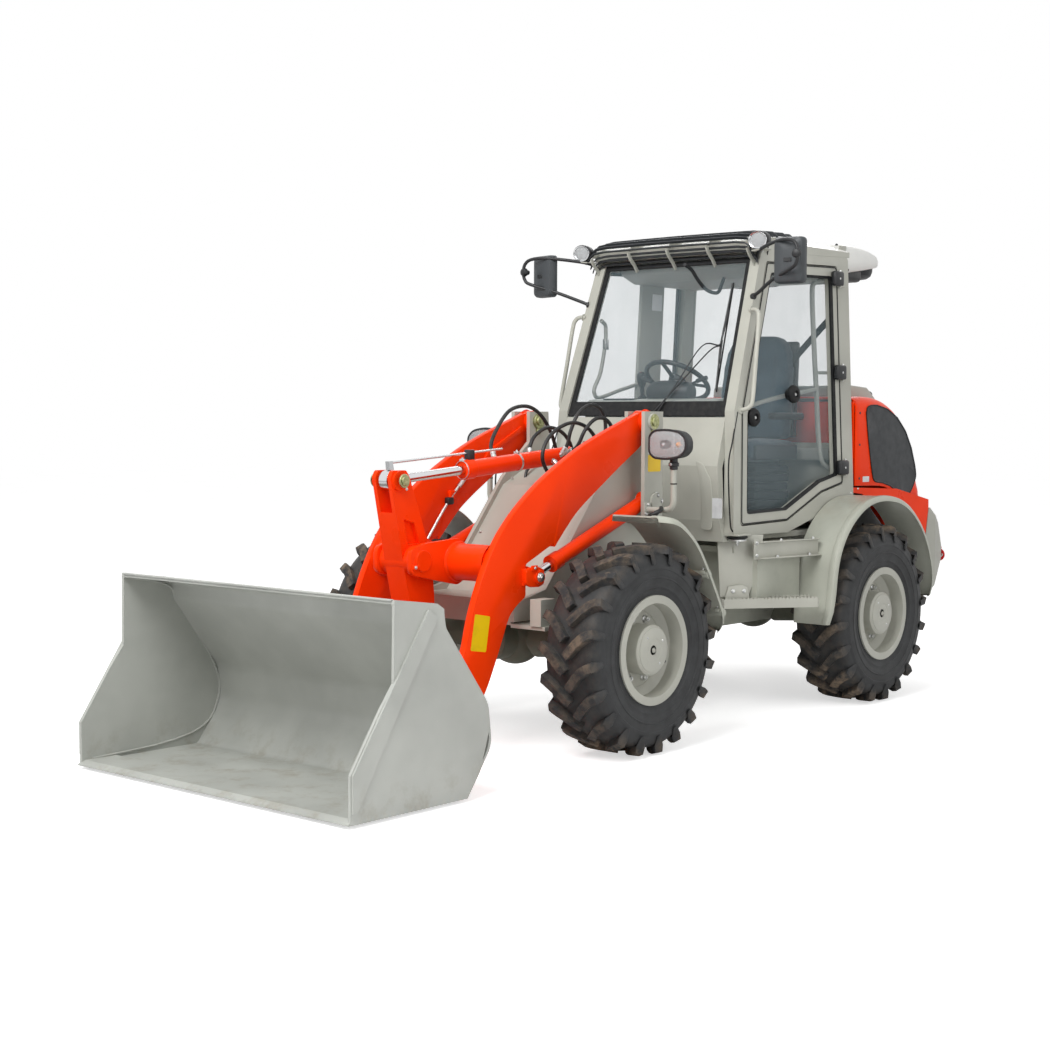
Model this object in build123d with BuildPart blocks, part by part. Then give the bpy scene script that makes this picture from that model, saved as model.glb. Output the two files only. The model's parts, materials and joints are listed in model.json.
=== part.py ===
from build123d import *
import os
from math import atan2, cos, degrees, radians, sin

# Compact articulated wheel loader with a central tilt linkage, built in millimetres.
# +X points forward, +Y to the driver's left and +Z up; the origin lies on the ground
# under the middle of the machine's overall length and width.
# Side views are drawn in a frame whose zero is on the ground under the front axle.

os.makedirs("parts", exist_ok=True)

# ---------------------------------------------------------------- driving dimensions
bucket_reach = 1946                 # front axle to the cutting edge
tail_reach = 3410                   # front axle to the rearmost shackle
front_axle_x = (tail_reach - bucket_reach) / 2
wheelbase = 2108
track = 1422
axle_z = 492.5
pivot_x = -wheelbase / 2            # articulation, halfway between the axles

tyre_radius = 492.5
tyre_width = 312
rim_flange_radius = 256
bead_radius = 228
rim_width = 292

run_gap = 0.3                       # between round faces that turn on each other
side_gap = 6                        # beside moving plates

# lift linkage, side view
arm_pin = (-527, 1546)
lift_rod_pin = (315, 825)
lift_base_pin = (-548, 1150)
bucket_pin = (950, 270)
arm_middle_y = 376
arm_plate = 35

# tilt linkage, side view
lever_pin = (775, 910)
lever_top_pin = (866, 1275)
lever_low_pin = (690, 540)
link_pin = (1045, 420)
tilt_base_pin = (-620, 1395)


# ---------------------------------------------------------------- small helpers
def at(x, y, z):
    return (front_axle_x + x, y, z)


def side_plane(y):
    return Plane(origin=at(0, y, 0), x_dir=(1, 0, 0), z_dir=(0, -1, 0))


def level_plane(z):
    return Plane(origin=at(0, 0, z), x_dir=(1, 0, 0), z_dir=(0, 0, 1))


def face_plane(x):
    return Plane(origin=at(x, 0, 0), x_dir=(0, 1, 0), z_dir=(1, 0, 0))


def plate(outline, y_high, thickness, mode=Mode.ADD):
    """A flat plate drawn in side view; it reaches from y_high inwards."""
    with BuildSketch(side_plane(y_high)) as drawing:
        with BuildLine():
            Polyline(*outline, close=True)
        make_face()
    extrude(drawing.sketch, amount=thickness, mode=mode)


def rounded_plate(outline, radius, y_high, thickness, mode=Mode.ADD):
    """A flat plate with its corners rounded, drawn in side view."""
    with BuildSketch(side_plane(y_high)) as drawing:
        with BuildLine():
            FilletPolyline(*outline, radius=radius, close=True)
        make_face()
    extrude(drawing.sketch, amount=thickness, mode=mode)


def band(path, radius, wall, y_high, width, mode=Mode.ADD):
    """A bent sheet drawn in side view as an open path with rounded bends."""
    with BuildSketch(side_plane(y_high)) as drawing:
        with BuildLine():
            FilletPolyline(*path, radius=radius)
            offset(amount=wall, side=Side.LEFT)
        make_face()
    extrude(drawing.sketch, amount=width, mode=mode)


def cross_bar(point, radius, width, y=0, mode=Mode.ADD):
    """A round bar across the machine, its middle at the given y."""
    with Locations(at(point[0], y, point[1])):
        Cylinder(radius, width, rotation=(90, 0, 0), mode=mode)


def block(low, high, mode=Mode.ADD):
    """A block between two opposite corners given in the front axle's frame."""
    size = [abs(high[axis] - low[axis]) for axis in range(3)]
    with Locations(at(*[(high[axis] + low[axis]) / 2 for axis in range(3)])):
        Box(*size, mode=mode)


def rod_between(start, end, radius, mode=Mode.ADD):
    """A round bar between two points given in the front axle's frame."""
    reach = Vector(*end) - Vector(*start)
    with BuildSketch(Plane(origin=at(*start), z_dir=reach)) as section:
        Circle(radius)
    extrude(section.sketch, amount=reach.length, mode=mode)


def bent_tube(points, bend, radius):
    """A round tube along straight runs with rounded bends."""
    with BuildLine() as route:
        FilletPolyline(*[at(*point) for point in points], radius=bend)
    with BuildSketch(Plane(origin=route.line @ 0, z_dir=route.line % 0)) as section:
        Circle(radius)
    sweep(section.sketch, path=route.line)


def store(builder, name):
    builder.part.label = name
    export_step(builder.part, "parts/" + name + ".step")


# ---------------------------------------------------------------- wheels
hub_radius = 118
hub_reach = 136                     # hub cap's face, out from the wheel's middle plane
disc_offset = 38                    # wheel disc's outer face, out from the middle plane
disc_plate = 14
drop_radius = 190
rim_wall = 10
tread_lugs = 20                     # on each half of the tread, half a pitch apart
lug_half_arc = 62                   # half of a lug's reach round the tread
lug_root = 60                       # how deep a lug starts below its outer face

# name, x, side
wheel_places = (
    ("front_left", 0, 1),
    ("front_right", 0, -1),
    ("rear_left", -wheelbase, 1),
    ("rear_right", -wheelbase, -1),
)
half_tyre = tyre_width / 2
half_rim = rim_width / 2

# outside of half a tyre's carcass: out from the middle plane, radius to the corners
carcass_steps = ((0, 463), (half_tyre - 10, 450), (half_tyre, 372))
flank_foot = (half_rim - rim_wall - run_gap, rim_flange_radius + 14)
# a lug's face: round the tread, out from the middle plane
lug_outline = ((-lug_half_arc, 144), (-18, 144), (lug_half_arc, 16), (38, 4), (-30, 88))
lug_face_radius = (tyre_radius ** 2 - lug_half_arc ** 2) ** 0.5
lug_pitch = 360 / tread_lugs
first_lug = 180 - degrees(atan2(lug_half_arc, lug_face_radius))


def across_plane(out):
    """A plane square to the axle, at a distance from the tyre's middle plane."""
    return Plane(origin=(0, out, 0), x_dir=(1, 0, 0), z_dir=(0, 1, 0))


def lug_plane(turn):
    """The plane of a lug's outer face; the turn is measured from the top, forwards."""
    outwards = Vector(sin(radians(turn)), 0, cos(radians(turn)))
    forwards = Vector(cos(radians(turn)), 0, -sin(radians(turn)))
    return Plane(origin=outwards * lug_face_radius, x_dir=forwards, z_dir=outwards)


def carcass_band(low, high, turn, mode=Mode.ADD):
    """A flat-sided band of the carcass between two steps, corners between the lugs."""
    steps = []
    for out, radius in (low, high):
        with BuildSketch(across_plane(out)) as step:
            RegularPolygon(radius, tread_lugs, rotation=turn)
        steps.append(step.sketch.face())
    loft(steps, ruled=True, mode=mode)


def half_carcass(turn):
    """One half of the carcass, its flank hollowed down to the rim's flange."""
    with BuildPart() as half:
        for low, high in zip(carcass_steps, carcass_steps[1:]):
            carcass_band(low, high, turn)
        carcass_band(carcass_steps[-1], flank_foot, turn, mode=Mode.SUBTRACT)
    return half.part


corner_turn = first_lug - 90 + lug_pitch / 2
with BuildPart() as tyre_form:
    add(half_carcass(corner_turn + lug_pitch / 2))
    mirror(about=Plane.XZ, mode=Mode.REPLACE)
    add(half_carcass(corner_turn))
    for tread_side, offset_turn in ((1, 0), (-1, lug_pitch / 2)):
        turns = [first_lug + offset_turn + lug_pitch * index for index in range(tread_lugs)]
        with BuildSketch(*[lug_plane(turn) for turn in turns]):
            with BuildLine():
                Polyline(*[(along, -tread_side * out) for along, out in lug_outline], close=True)
            make_face()
        extrude(amount=-lug_root)
    with BuildSketch(across_plane(-half_tyre)):
        RegularPolygon(bead_radius, tread_lugs, major_radius=False, rotation=corner_turn)
    extrude(amount=tyre_width, mode=Mode.SUBTRACT)

for place, wheel_x, side in wheel_places:
    with BuildPart() as tyre:
        with Locations(at(wheel_x, side * track / 2, axle_z)):
            add(tyre_form.part)
    store(tyre, "tyre_" + place)

    # the drawing plane's second axis points out of the machine along the axle
    wheel_plane = Plane(
        origin=at(wheel_x, side * track / 2, axle_z), x_dir=(1, 0, 0), z_dir=(0, 0, side)
    )
    with BuildPart() as rim:
        with BuildSketch(wheel_plane):
            with BuildLine():
                Polyline(
                    (rim_flange_radius, -half_rim),
                    (rim_flange_radius, -half_rim + rim_wall),
                    (bead_radius - run_gap, -half_rim + rim_wall),
                    (bead_radius - run_gap, -half_rim + 60),
                    (drop_radius, -half_rim + 90),
                    (drop_radius, half_rim - 110),
                    (bead_radius - run_gap, half_rim - 80),
                    (bead_radius - run_gap, half_rim - rim_wall),
                    (rim_flange_radius, half_rim - rim_wall),
                    (rim_flange_radius, half_rim),
                    (bead_radius - rim_wall, half_rim),
                    (bead_radius - rim_wall, half_rim - 76),
                    (drop_radius - rim_wall, half_rim - 106),
                    (drop_radius - rim_wall, disc_offset),
                    (hub_radius, disc_offset),
                    (hub_radius, hub_reach - 8),
                    (hub_radius - 8, hub_reach),
                    (0, hub_reach),
                    (0, disc_offset - disc_plate),
                    (drop_radius - rim_wall, disc_offset - disc_plate),
                    (drop_radius - rim_wall, -half_rim + 86),
                    (bead_radius - rim_wall, -half_rim + 56),
                    (bead_radius - rim_wall, -half_rim),
                    close=True,
                )
            make_face()
        revolve(axis=Axis(wheel_plane.origin, (0, 1, 0)))
    store(rim, "rim_" + place)

# ---------------------------------------------------------------- axles
axle_tube_radius = 68
axle_flange_radius = 140
axle_end_y = track / 2 + disc_offset - disc_plate - 8
diff_radius = 142

for name, axle_x in (("front_axle", 0), ("rear_axle", -wheelbase)):
    with BuildPart() as axle:
        cross_bar((axle_x, axle_z), axle_tube_radius, 2 * axle_end_y - 40)
        with Locations(at(axle_x, 0, axle_z)):
            Sphere(diff_radius)
        with Locations((front_axle_x + axle_x, 0, axle_z)):
            Cylinder(105, 2 * diff_radius + 110, rotation=(0, 90, 0))
        for end_y in (-1, 1):
            with Locations(at(axle_x, end_y * (axle_end_y - 70), axle_z)):
                Cylinder(axle_flange_radius, 140, rotation=(90, 0, 0))
            with Locations(at(axle_x, end_y * 290, axle_z)):
                Cone(95, 75, 260, rotation=(-90 * end_y, 0, 0))
        for pad_y in (-230, 230):
            with Locations(at(axle_x, pad_y, axle_z + 70)):
                Box(150, 110, 90)
    store(axle, name)

# ---------------------------------------------------------------- front frame
tower_plate = 22
tower_gap = 84                      # between a tower's two plates
tower_top_z = 1597
tower_front_x = -462
cover_rear = (tower_front_x - 20, 1330)
cover_front = (-255, 1222)
tower_rear_x = -612
tower_foot_z = 1062
tower_inner_y = arm_middle_y - tower_gap / 2
tower_outer_y = arm_middle_y + tower_gap / 2
frame_rear_x = -800
frame_low_z = 470
frame_deck_z = 900
frame_nose_x = 390
axle_clear_z = 615                  # frame plates arch over the axle at this height
axle_arch_half = 120
pin_radius = 30
pin_head_radius = 42
pivot_pin_radius = 32
steer_z = 680                       # steering cylinder's height
steer_base = (-1640, 165)           # x, y
steer_eye = (-872, 165)

frame_side = (
    (tower_rear_x, tower_top_z),
    (tower_front_x, tower_top_z),
    (tower_front_x, 1440),
    (-255, 1262),
    (-10, 961),
    (165, 752),
    (frame_nose_x, 700),
    (frame_nose_x, axle_clear_z),
    (-axle_arch_half, axle_clear_z),
    (-axle_arch_half - 110, frame_low_z),
    (frame_rear_x, frame_low_z),
    (frame_rear_x, frame_deck_z - 20),
    (tower_rear_x - 40, frame_deck_z),
)

with BuildPart() as front_frame:
    for side_y in (tower_inner_y, -tower_inner_y + tower_plate):
        plate(frame_side, side_y, tower_plate)
    inside_y = tower_inner_y - tower_plate
    # sloping cover, deck, floor and cross plates between the two side plates
    cover = (
        cover_rear, cover_front, (-10, 921), (165, 712),
        (165, 696), (-22, 909), (-267, 1210), (tower_front_x - 20, 1312),
    )
    plate(cover, inside_y, 2 * inside_y)
    block((165 - 8, -inside_y, 690), (frame_nose_x, inside_y, 712))
    block((frame_nose_x - 22, -inside_y, 600), (frame_nose_x, inside_y, 712))
    block((frame_rear_x, -inside_y, frame_low_z), (frame_rear_x + 22, inside_y, frame_deck_z - 20))
    block((frame_rear_x, -inside_y, frame_low_z + 170),
          (frame_nose_x, inside_y, frame_low_z + 188))
    # tower cross plates: one carries the tilt cylinder, one closes the towers' backs
    block((-560, -inside_y, 1010), (-540, inside_y, 1335))
    for ear_y in (-62, 40):
        ear = (
            (-540, 1180), (-540, 1335), (tilt_base_pin[0] + 55, tilt_base_pin[1] + 50),
            (tilt_base_pin[0] - 50, tilt_base_pin[1] + 50),
            (tilt_base_pin[0] - 50, tilt_base_pin[1] - 40), (-600, 1180),
        )
        plate(ear, ear_y + 22, 22)
    # outer tower plates, tied to the inner ones under the lift cylinders
    for tower_side in (-1, 1):
        outer = (
            (tower_rear_x, tower_top_z), (tower_front_x, tower_top_z),
            (tower_front_x, tower_foot_z), (tower_rear_x, tower_foot_z),
        )
        high_y = tower_outer_y + tower_plate if tower_side > 0 else -tower_outer_y
        plate(outer, high_y, tower_plate)
        low_y = min(tower_side * tower_inner_y, tower_side * (tower_outer_y + tower_plate))
        block(
            (tower_rear_x, low_y, tower_foot_z - 22),
            (tower_front_x, low_y + tower_gap + tower_plate, tower_foot_z),
        )
        # axle brackets on the nose, beside each arm
        block(
            (frame_nose_x - 250, min(tower_side * inside_y, tower_side * 520), 588),
            (frame_nose_x, max(tower_side * inside_y, tower_side * 520), 606),
        )
        block(
            (frame_nose_x - 90, min(tower_side * 440, tower_side * 505), 606),
            (frame_nose_x + 10, max(tower_side * 440, tower_side * 505), 730),
        )
        # seats on the axle housing
        low_y = min(tower_side * 175, tower_side * 285)
        block((-75, low_y, axle_z + 115), (75, low_y + 110, frame_low_z + 170))
    # hinge lugs reaching back to the articulation
    for lug_z in (520, 800):
        block((frame_rear_x - 120, -130, lug_z), (frame_rear_x, 130, lug_z + 40))
        block((pivot_x, -75, lug_z), (frame_rear_x - 100, 75, lug_z + 40))
        with Locations(at(pivot_x, 0, lug_z + 20)):
            Cylinder(75, 40)
    with Locations(at(pivot_x, 0, steer_z)):
        Cylinder(pivot_pin_radius, 360)
    for fork_z in (steer_z - 44, steer_z + 28):
        block((steer_eye[0] - 30, steer_eye[1] - 30, fork_z),
              (frame_rear_x, steer_eye[1] + 30, fork_z + 16))
    # arm pins and lift cylinder pins through each tower
    for tower_side in (-1, 1):
        middle_y = tower_side * arm_middle_y
        outer_face = tower_outer_y + tower_plate
        for pin in (arm_pin, lift_base_pin):
            cross_bar(pin, pin_radius, tower_gap + 2 * tower_plate, middle_y)
            cross_bar(pin, pin_head_radius, 12, tower_side * (outer_face + 6))
    cross_bar(tilt_base_pin, pin_radius, 124)
store(front_frame, "front_frame")

# ---------------------------------------------------------------- front fenders
fender_inner_y = 552
fender_outer_y = 872
fender_sheet = 8
stay_radius = 18
fender_path = (
    (-66, 1107), (-190, 1085), (-330, 975), (-450, 800), (-545, 640), (-590, 545),
)
with BuildPart() as front_fenders:
    for low_y in (fender_inner_y, -fender_outer_y):
        band(fender_path, 60, fender_sheet, low_y + fender_outer_y - fender_inner_y,
             fender_outer_y - fender_inner_y)
    # stays that carry the fenders from the frame's side plates
    for stay in ((-425, 815), (-551, 622)):
        stay_length = fender_outer_y - 10 - tower_inner_y
        for stay_side in (-1, 1):
            cross_bar(stay, stay_radius, stay_length,
                      stay_side * (tower_inner_y + stay_length / 2))
store(front_fenders, "front_fenders")

# ---------------------------------------------------------------- headlamps
lamp_middle = (-470, 610, 1436)
stalk_radius = 16
with BuildPart() as headlamps:
    for lamp_side in (-1, 1):
        with Locations(at(lamp_middle[0], lamp_side * lamp_middle[1], lamp_middle[2])):
            Box(110, 200, 130)
        stalk_y = lamp_side * 640
        bent_tube(
            (
                (-480, lamp_side * (tower_outer_y + tower_plate), 1120),
                (-480, stalk_y, 1120),
                (-480, stalk_y, lamp_middle[2] - 60),
            ),
            50,
            stalk_radius,
        )
store(headlamps, "headlamps")

# ---------------------------------------------------------------- lift arm
arm_outline = (
    (arm_pin[0] + 30, 1596),
    (-168, 1481),
    (131, 1346),
    (415, 1163),
    (572, 1010),
    (698, 793),
    (750, 662),
    (782, 531),
    (870, 420),
    (965, 355),
    (1030, 310),
    (1035, 230),
    (985, 186),
    (900, 186),
    (770, 215),
    (680, 280),
    (630, 357),
    (556, 509),
    (489, 658),
    (380, 735),
    (300, 762),
    (262, 800),
    (208, 917),
    (18, 1107),
    (-171, 1230),
    (-495, 1425),
    (-575, 1500),
    (-580, 1560),
)
arm_inner_y = arm_middle_y - arm_plate / 2
arm_outer_y = arm_middle_y + arm_plate / 2
torque_tube = (545, 895)
torque_tube_radius = 85
lever_gap = 96                      # from the middle to a bracket's inner face
bracket_plate = 26
bracket_nose_radius = 80
eye_width = 50
cheek_plate = 14

with BuildPart() as lift_arm:
    for high_y in (arm_outer_y, -arm_inner_y):
        rounded_plate(arm_outline, 12, high_y, arm_plate)
    cross_bar(torque_tube, torque_tube_radius, 2 * arm_inner_y + 10)
    for high_y in (lever_gap + bracket_plate, -lever_gap):
        nose = (
            (torque_tube[0], torque_tube[1] + 108),
            (lever_pin[0] - 15, lever_pin[1] + bracket_nose_radius),
            (lever_pin[0] + bracket_nose_radius, lever_pin[1] + bracket_nose_radius - 20),
            (lever_pin[0] + bracket_nose_radius, lever_pin[1] - bracket_nose_radius + 20),
            (lever_pin[0] - 15, lever_pin[1] - bracket_nose_radius),
            (torque_tube[0], torque_tube[1] - 108),
            (torque_tube[0] - 98, torque_tube[1] - 60),
            (torque_tube[0] - 98, torque_tube[1] + 60),
        )
        rounded_plate(nose, 45, high_y, bracket_plate)
    for arm_side in (-1, 1):
        middle_y = arm_side * arm_middle_y
        # bushes at the tower and at the bucket hinge
        cross_bar(arm_pin, 55, tower_gap - 2 * side_gap, middle_y)
        cross_bar(bucket_pin, 85, arm_plate + 30, middle_y)
        # cheeks of the lift cylinder's front fork
        pocket = (
            (lift_rod_pin[0] - 90, lift_rod_pin[1] - 90),
            (lift_rod_pin[0] + 62, lift_rod_pin[1] - 62),
            (lift_rod_pin[0] + 62, lift_rod_pin[1] + 62),
            (lift_rod_pin[0] - 140, lift_rod_pin[1] + 150),
            (lift_rod_pin[0] - 140, lift_rod_pin[1] - 60),
        )
        plate(pocket, middle_y + arm_plate, 2 * arm_plate, mode=Mode.SUBTRACT)
        for cheek_side in (-1, 1):
            cheek_y = middle_y + cheek_side * (eye_width / 2 + 4 + cheek_plate / 2)
            cheek = (
                (lift_rod_pin[0] - 42, lift_rod_pin[1] - 42),
                (lift_rod_pin[0] + 60, lift_rod_pin[1] - 75),
                (lift_rod_pin[0] + 150, lift_rod_pin[1] - 60),
                (lift_rod_pin[0] + 150, lift_rod_pin[1] + 90),
                (lift_rod_pin[0] + 30, lift_rod_pin[1] + 70),
                (lift_rod_pin[0] - 42, lift_rod_pin[1] + 42),
            )
            rounded_plate(cheek, 20, cheek_y + cheek_plate / 2, cheek_plate)
            block(
                (lift_rod_pin[0] + 75, min(cheek_y, middle_y), lift_rod_pin[1] - 50),
                (lift_rod_pin[0] + 145, max(cheek_y, middle_y), lift_rod_pin[1] + 60),
            )
        cross_bar(lift_rod_pin, 30, 12, middle_y + arm_side * (eye_width / 2 + 4 + cheek_plate + 6))
    for arm_side in (-1, 1):
        middle_y = arm_side * arm_middle_y
        cross_bar(arm_pin, pin_radius + run_gap, tower_gap, middle_y, mode=Mode.SUBTRACT)
        cross_bar(bucket_pin, pin_radius + run_gap, 100, middle_y, mode=Mode.SUBTRACT)
    cross_bar(lever_pin, pin_radius, 2 * (lever_gap + bracket_plate) + 12)
store(lift_arm, "lift_arm")

# ---------------------------------------------------------------- tilt lever
lever_half_width = 60
lever_flange = 16
lever_fork_half_gap = 38
lever_outline = (
    (906, 1322),
    (922, 1290),
    (842, 905),
    (762, 560),
    (744, 492),
    (650, 492),
    (628, 540),
    (640, 750),
    (655, 900),
    (690, 1010),
    (800, 1290),
    (822, 1322),
)
with BuildPart() as tilt_lever:
    rounded_plate(lever_outline, 18, lever_half_width, 2 * lever_half_width)
    cross_bar(lever_pin, 68, 2 * (lever_gap - side_gap / 2))
    for high_y in (lever_half_width + 10, -lever_half_width):
        cross_bar(lever_top_pin, 46, 10, high_y - 5)
    # the two forks that take the cylinder's eye and the link
    top_slot = ((1000, 1400), (1000, 1330), (895, 1135), (860, 1110), (690, 1110), (690, 1400))
    plate(top_slot, lever_fork_half_gap, 2 * lever_fork_half_gap, mode=Mode.SUBTRACT)
    low_slot = ((820, 400), (820, 660), (790, 700), (560, 700), (560, 400))
    plate(low_slot, lever_fork_half_gap, 2 * lever_fork_half_gap, mode=Mode.SUBTRACT)
    # open pockets that leave a web between the cheeks
    pocket = ((838, 1100), (812, 985), (735, 985), (770, 1080))
    for high_y in (lever_half_width, -lever_half_width + 25):
        plate(pocket, high_y, 25, mode=Mode.SUBTRACT)
    for high_y in (lever_half_width + 6, -lever_half_width):
        cross_bar(lever_low_pin, 40, 6, high_y - 3)
    cross_bar(lever_pin, pin_radius + run_gap, 400, mode=Mode.SUBTRACT)
store(tilt_lever, "tilt_lever")

# ---------------------------------------------------------------- link
link_width = 48
link_radius = 48
with BuildPart() as tilt_link:
    with BuildSketch(side_plane(link_width / 2)):
        with Locations(link_pin, lever_low_pin):
            Circle(link_radius)
        make_hull()
    extrude(amount=link_width)
    cross_bar(link_pin, pin_radius + run_gap, 100, mode=Mode.SUBTRACT)
store(tilt_link, "tilt_link")

# ---------------------------------------------------------------- hydraulic cylinders
def barrel(base, eye, y, radius, rod_radius, length, eye_wide, neck=0):
    """A cylinder barrel: base eye, optional narrow neck and the bored tube."""
    along = (Vector(eye[0] - base[0], 0, eye[1] - base[1])).normalized()
    start = Vector(base[0], y, base[1])
    cross_bar(base, 46, eye_wide, y)
    if neck:
        rod_between(start, start + along * neck, eye_wide / 2)
    rod_between(start + along * max(neck, 30), start + along * length, radius)
    rod_between(start + along * (length - 60), start + along * length, radius + 6)
    rod_between(start + along * (max(neck, 30) + 50), start + along * (length + 1),
                rod_radius + run_gap, mode=Mode.SUBTRACT)
    cross_bar(base, pin_radius + run_gap, eye_wide + 4, y, mode=Mode.SUBTRACT)


def piston_rod(base, eye, y, radius, length, eye_radius, eye_wide):
    """A piston rod that ends in an eye; the eye's bore takes the pin."""
    along = (Vector(base[0] - eye[0], 0, base[1] - eye[1])).normalized()
    start = Vector(eye[0], y, eye[1])
    rod_between(start, start + along * length, radius)
    cross_bar(eye, eye_radius, eye_wide, y)
    cross_bar(eye, eye_radius * 0.5, eye_wide + 4, y, mode=Mode.SUBTRACT)


lift_barrel_radius = 36
lift_rod_radius = 21
lift_barrel_length = 780
lift_rod_length = 700
lift_eye_radius = 38
for place, lift_side in (("left", 1), ("right", -1)):
    with BuildPart() as lift_barrel:
        barrel(lift_base_pin, lift_rod_pin, lift_side * arm_middle_y, lift_barrel_radius,
               lift_rod_radius, lift_barrel_length, eye_width)
    store(lift_barrel, "lift_barrel_" + place)
    with BuildPart() as lift_rod:
        piston_rod(lift_base_pin, lift_rod_pin, lift_side * arm_middle_y, lift_rod_radius,
                   lift_rod_length, lift_eye_radius, eye_width)
    store(lift_rod, "lift_rod_" + place)

tilt_barrel_radius = 42
tilt_rod_radius = 22
tilt_barrel_length = 1007
tilt_rod_length = 1050
tilt_eye_radius = 47
tilt_neck = 215
with BuildPart() as tilt_barrel:
    barrel(tilt_base_pin, lever_top_pin, 0, tilt_barrel_radius, tilt_rod_radius,
           tilt_barrel_length, eye_width, tilt_neck)
store(tilt_barrel, "tilt_barrel")
with BuildPart() as tilt_rod:
    piston_rod(tilt_base_pin, lever_top_pin, 0, tilt_rod_radius, tilt_rod_length,
               tilt_eye_radius, eye_width)
store(tilt_rod, "tilt_rod")

# steering cylinder, level between the two hinge lugs
steer_barrel_radius = 33
steer_rod_radius = 17
steer_barrel_length = 480
steer_rod_length = 596
with BuildPart() as steer_barrel:
    with Locations(at(steer_base[0], steer_base[1], steer_z)):
        Cylinder(38, 44)
    rod_between((steer_base[0] + 25, steer_base[1], steer_z),
                (steer_base[0] + steer_barrel_length, steer_base[1], steer_z), steer_barrel_radius)
    rod_between((steer_base[0] + 60, steer_base[1], steer_z),
                (steer_base[0] + steer_barrel_length + 1, steer_base[1], steer_z),
                steer_rod_radius + run_gap, mode=Mode.SUBTRACT)
    with Locations(at(steer_base[0], steer_base[1], steer_z)):
        Cylinder(20 + run_gap, 50, mode=Mode.SUBTRACT)
store(steer_barrel, "steer_barrel")
with BuildPart() as steer_rod:
    rod_between((steer_eye[0] - steer_rod_length, steer_eye[1], steer_z),
                (steer_eye[0], steer_eye[1], steer_z), steer_rod_radius)
    with Locations(at(steer_eye[0], steer_eye[1], steer_z)):
        Cylinder(32, 40)
    with Locations(at(steer_eye[0], steer_eye[1], steer_z)):
        Cylinder(17, 44, mode=Mode.SUBTRACT)
store(steer_rod, "steer_rod")

# ---------------------------------------------------------------- quick hitch
hitch_ear = 24
hitch_tube = (1128, 598)
hitch_tube_radius = 34
hitch_ear_gap = arm_plate + 30 + 2 * side_gap
hitch_outline = (
    (880, 300), (915, 200), (1000, 190), (1110, 250), (1125, 420), (1180, 560),
    (1180, 620), (1120, 640), (1060, 560), (1040, 380), (930, 350),
)
with BuildPart() as quick_hitch:
    for hitch_side in (-1, 1):
        middle_y = hitch_side * arm_middle_y
        for ear_side in (-1, 1):
            ear_y = middle_y + ear_side * (hitch_ear_gap + hitch_ear) / 2
            rounded_plate(hitch_outline, 14, ear_y + hitch_ear / 2, hitch_ear)
        cross_bar(bucket_pin, pin_radius, hitch_ear_gap + 2 * hitch_ear, middle_y)
    cross_bar(hitch_tube, hitch_tube_radius, 2 * (arm_middle_y + hitch_ear_gap / 2))
    block((1096, -arm_middle_y - 30, 235), (1120, arm_middle_y + 30, 330))
    for ear_y in (link_width / 2 + side_gap, -link_width / 2 - side_gap - 20):
        ear = (
            (1005, 400), (1030, 370), (1100, 300), (1120, 300), (1124, 420), (1150, 560),
            (1130, 610), (1080, 590), (1005, 450),
        )
        rounded_plate(ear, 10, ear_y + 20, 20)
    block((1096, -80, 235), (1120, 80, 420))
    cross_bar(link_pin, pin_radius, link_width + 2 * side_gap + 40)
store(quick_hitch, "quick_hitch")

# ---------------------------------------------------------------- bucket
bucket_half_width = 874
bucket_sheet = 12
bucket_side_sheet = 14
bucket_low_z = 14
bucket_shell = (
    (1700, 850), (1428, 812), (1412, 722), (1160, 390), (1138, 215), (1285, bucket_low_z),
    (bucket_reach - 60, bucket_low_z),
)
bucket_bends = [45, 60, 110, 110, 40]
bucket_side = (
    (1700, 856), (1463, 824), (1424, 800), (1419, 725), (1190, 416), (1160, 345), (1158, 270),
    (1210, 115), (1285, bucket_low_z), (bucket_reach - 12, bucket_low_z),
    (bucket_reach - 12, 205), (1780, 432), (1705, 530),
)
with BuildPart() as bucket:
    band(bucket_shell, bucket_bends, bucket_sheet, bucket_half_width - 1,
         2 * bucket_half_width - 2)
    for high_y in (bucket_half_width, -bucket_half_width + bucket_side_sheet):
        plate(bucket_side, high_y, bucket_side_sheet)
    # cutting edge and the stiffening strips along the side plates' front edges
    edge = (
        (bucket_reach - 190, bucket_low_z), (bucket_reach, bucket_low_z),
        (bucket_reach, bucket_low_z + 6), (bucket_reach - 30, bucket_low_z + 22),
        (bucket_reach - 190, bucket_low_z + 22),
    )
    plate(edge, bucket_half_width - 2, 2 * bucket_half_width - 4)
    strip = ((1520, 805), (1468, 768), (1762, 300), (1905, 60), (1930, 60), (1930, 205), (1780, 425))
    for high_y in (bucket_half_width + 10, -bucket_half_width):
        plate(strip, high_y, 10)
    # hooks and saddles that the quick hitch holds
    for hook_y in (-300, 280):
        hook = (
            (1060, 585), (1072, 660), (1120, 700), (1200, 712), (1399, 712), (1210, 448),
            (1180, 520), (1180, 585), (1075, 570),
        )
        plate(hook, hook_y + 20, 20)
        saddle = ((1120, 200), (1120, 320), (1150, 340), (1157, 330), (1149, 250), (1149, 215))
        plate(saddle, hook_y + 20, 20)
        # the slot that drops over the hitch's cross tube
        cross_bar(hitch_tube, hitch_tube_radius + run_gap, 20, hook_y + 10, mode=Mode.SUBTRACT)
        block(
            (hitch_tube[0] - hitch_tube_radius - run_gap, hook_y, 540),
            (hitch_tube[0] + hitch_tube_radius + run_gap, hook_y + 20, hitch_tube[1]),
            mode=Mode.SUBTRACT,
        )
store(bucket, "bucket")

# ---------------------------------------------------------------- hoses and level indicator
with BuildPart() as level_indicator:
    rod_between((872, 0, 1355), (105, 0, 1411), 6)
    plate(((852, 1322.3), (880, 1322.3), (884, 1362), (860, 1364)), 12, 24)
store(level_indicator, "level_indicator")

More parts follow.
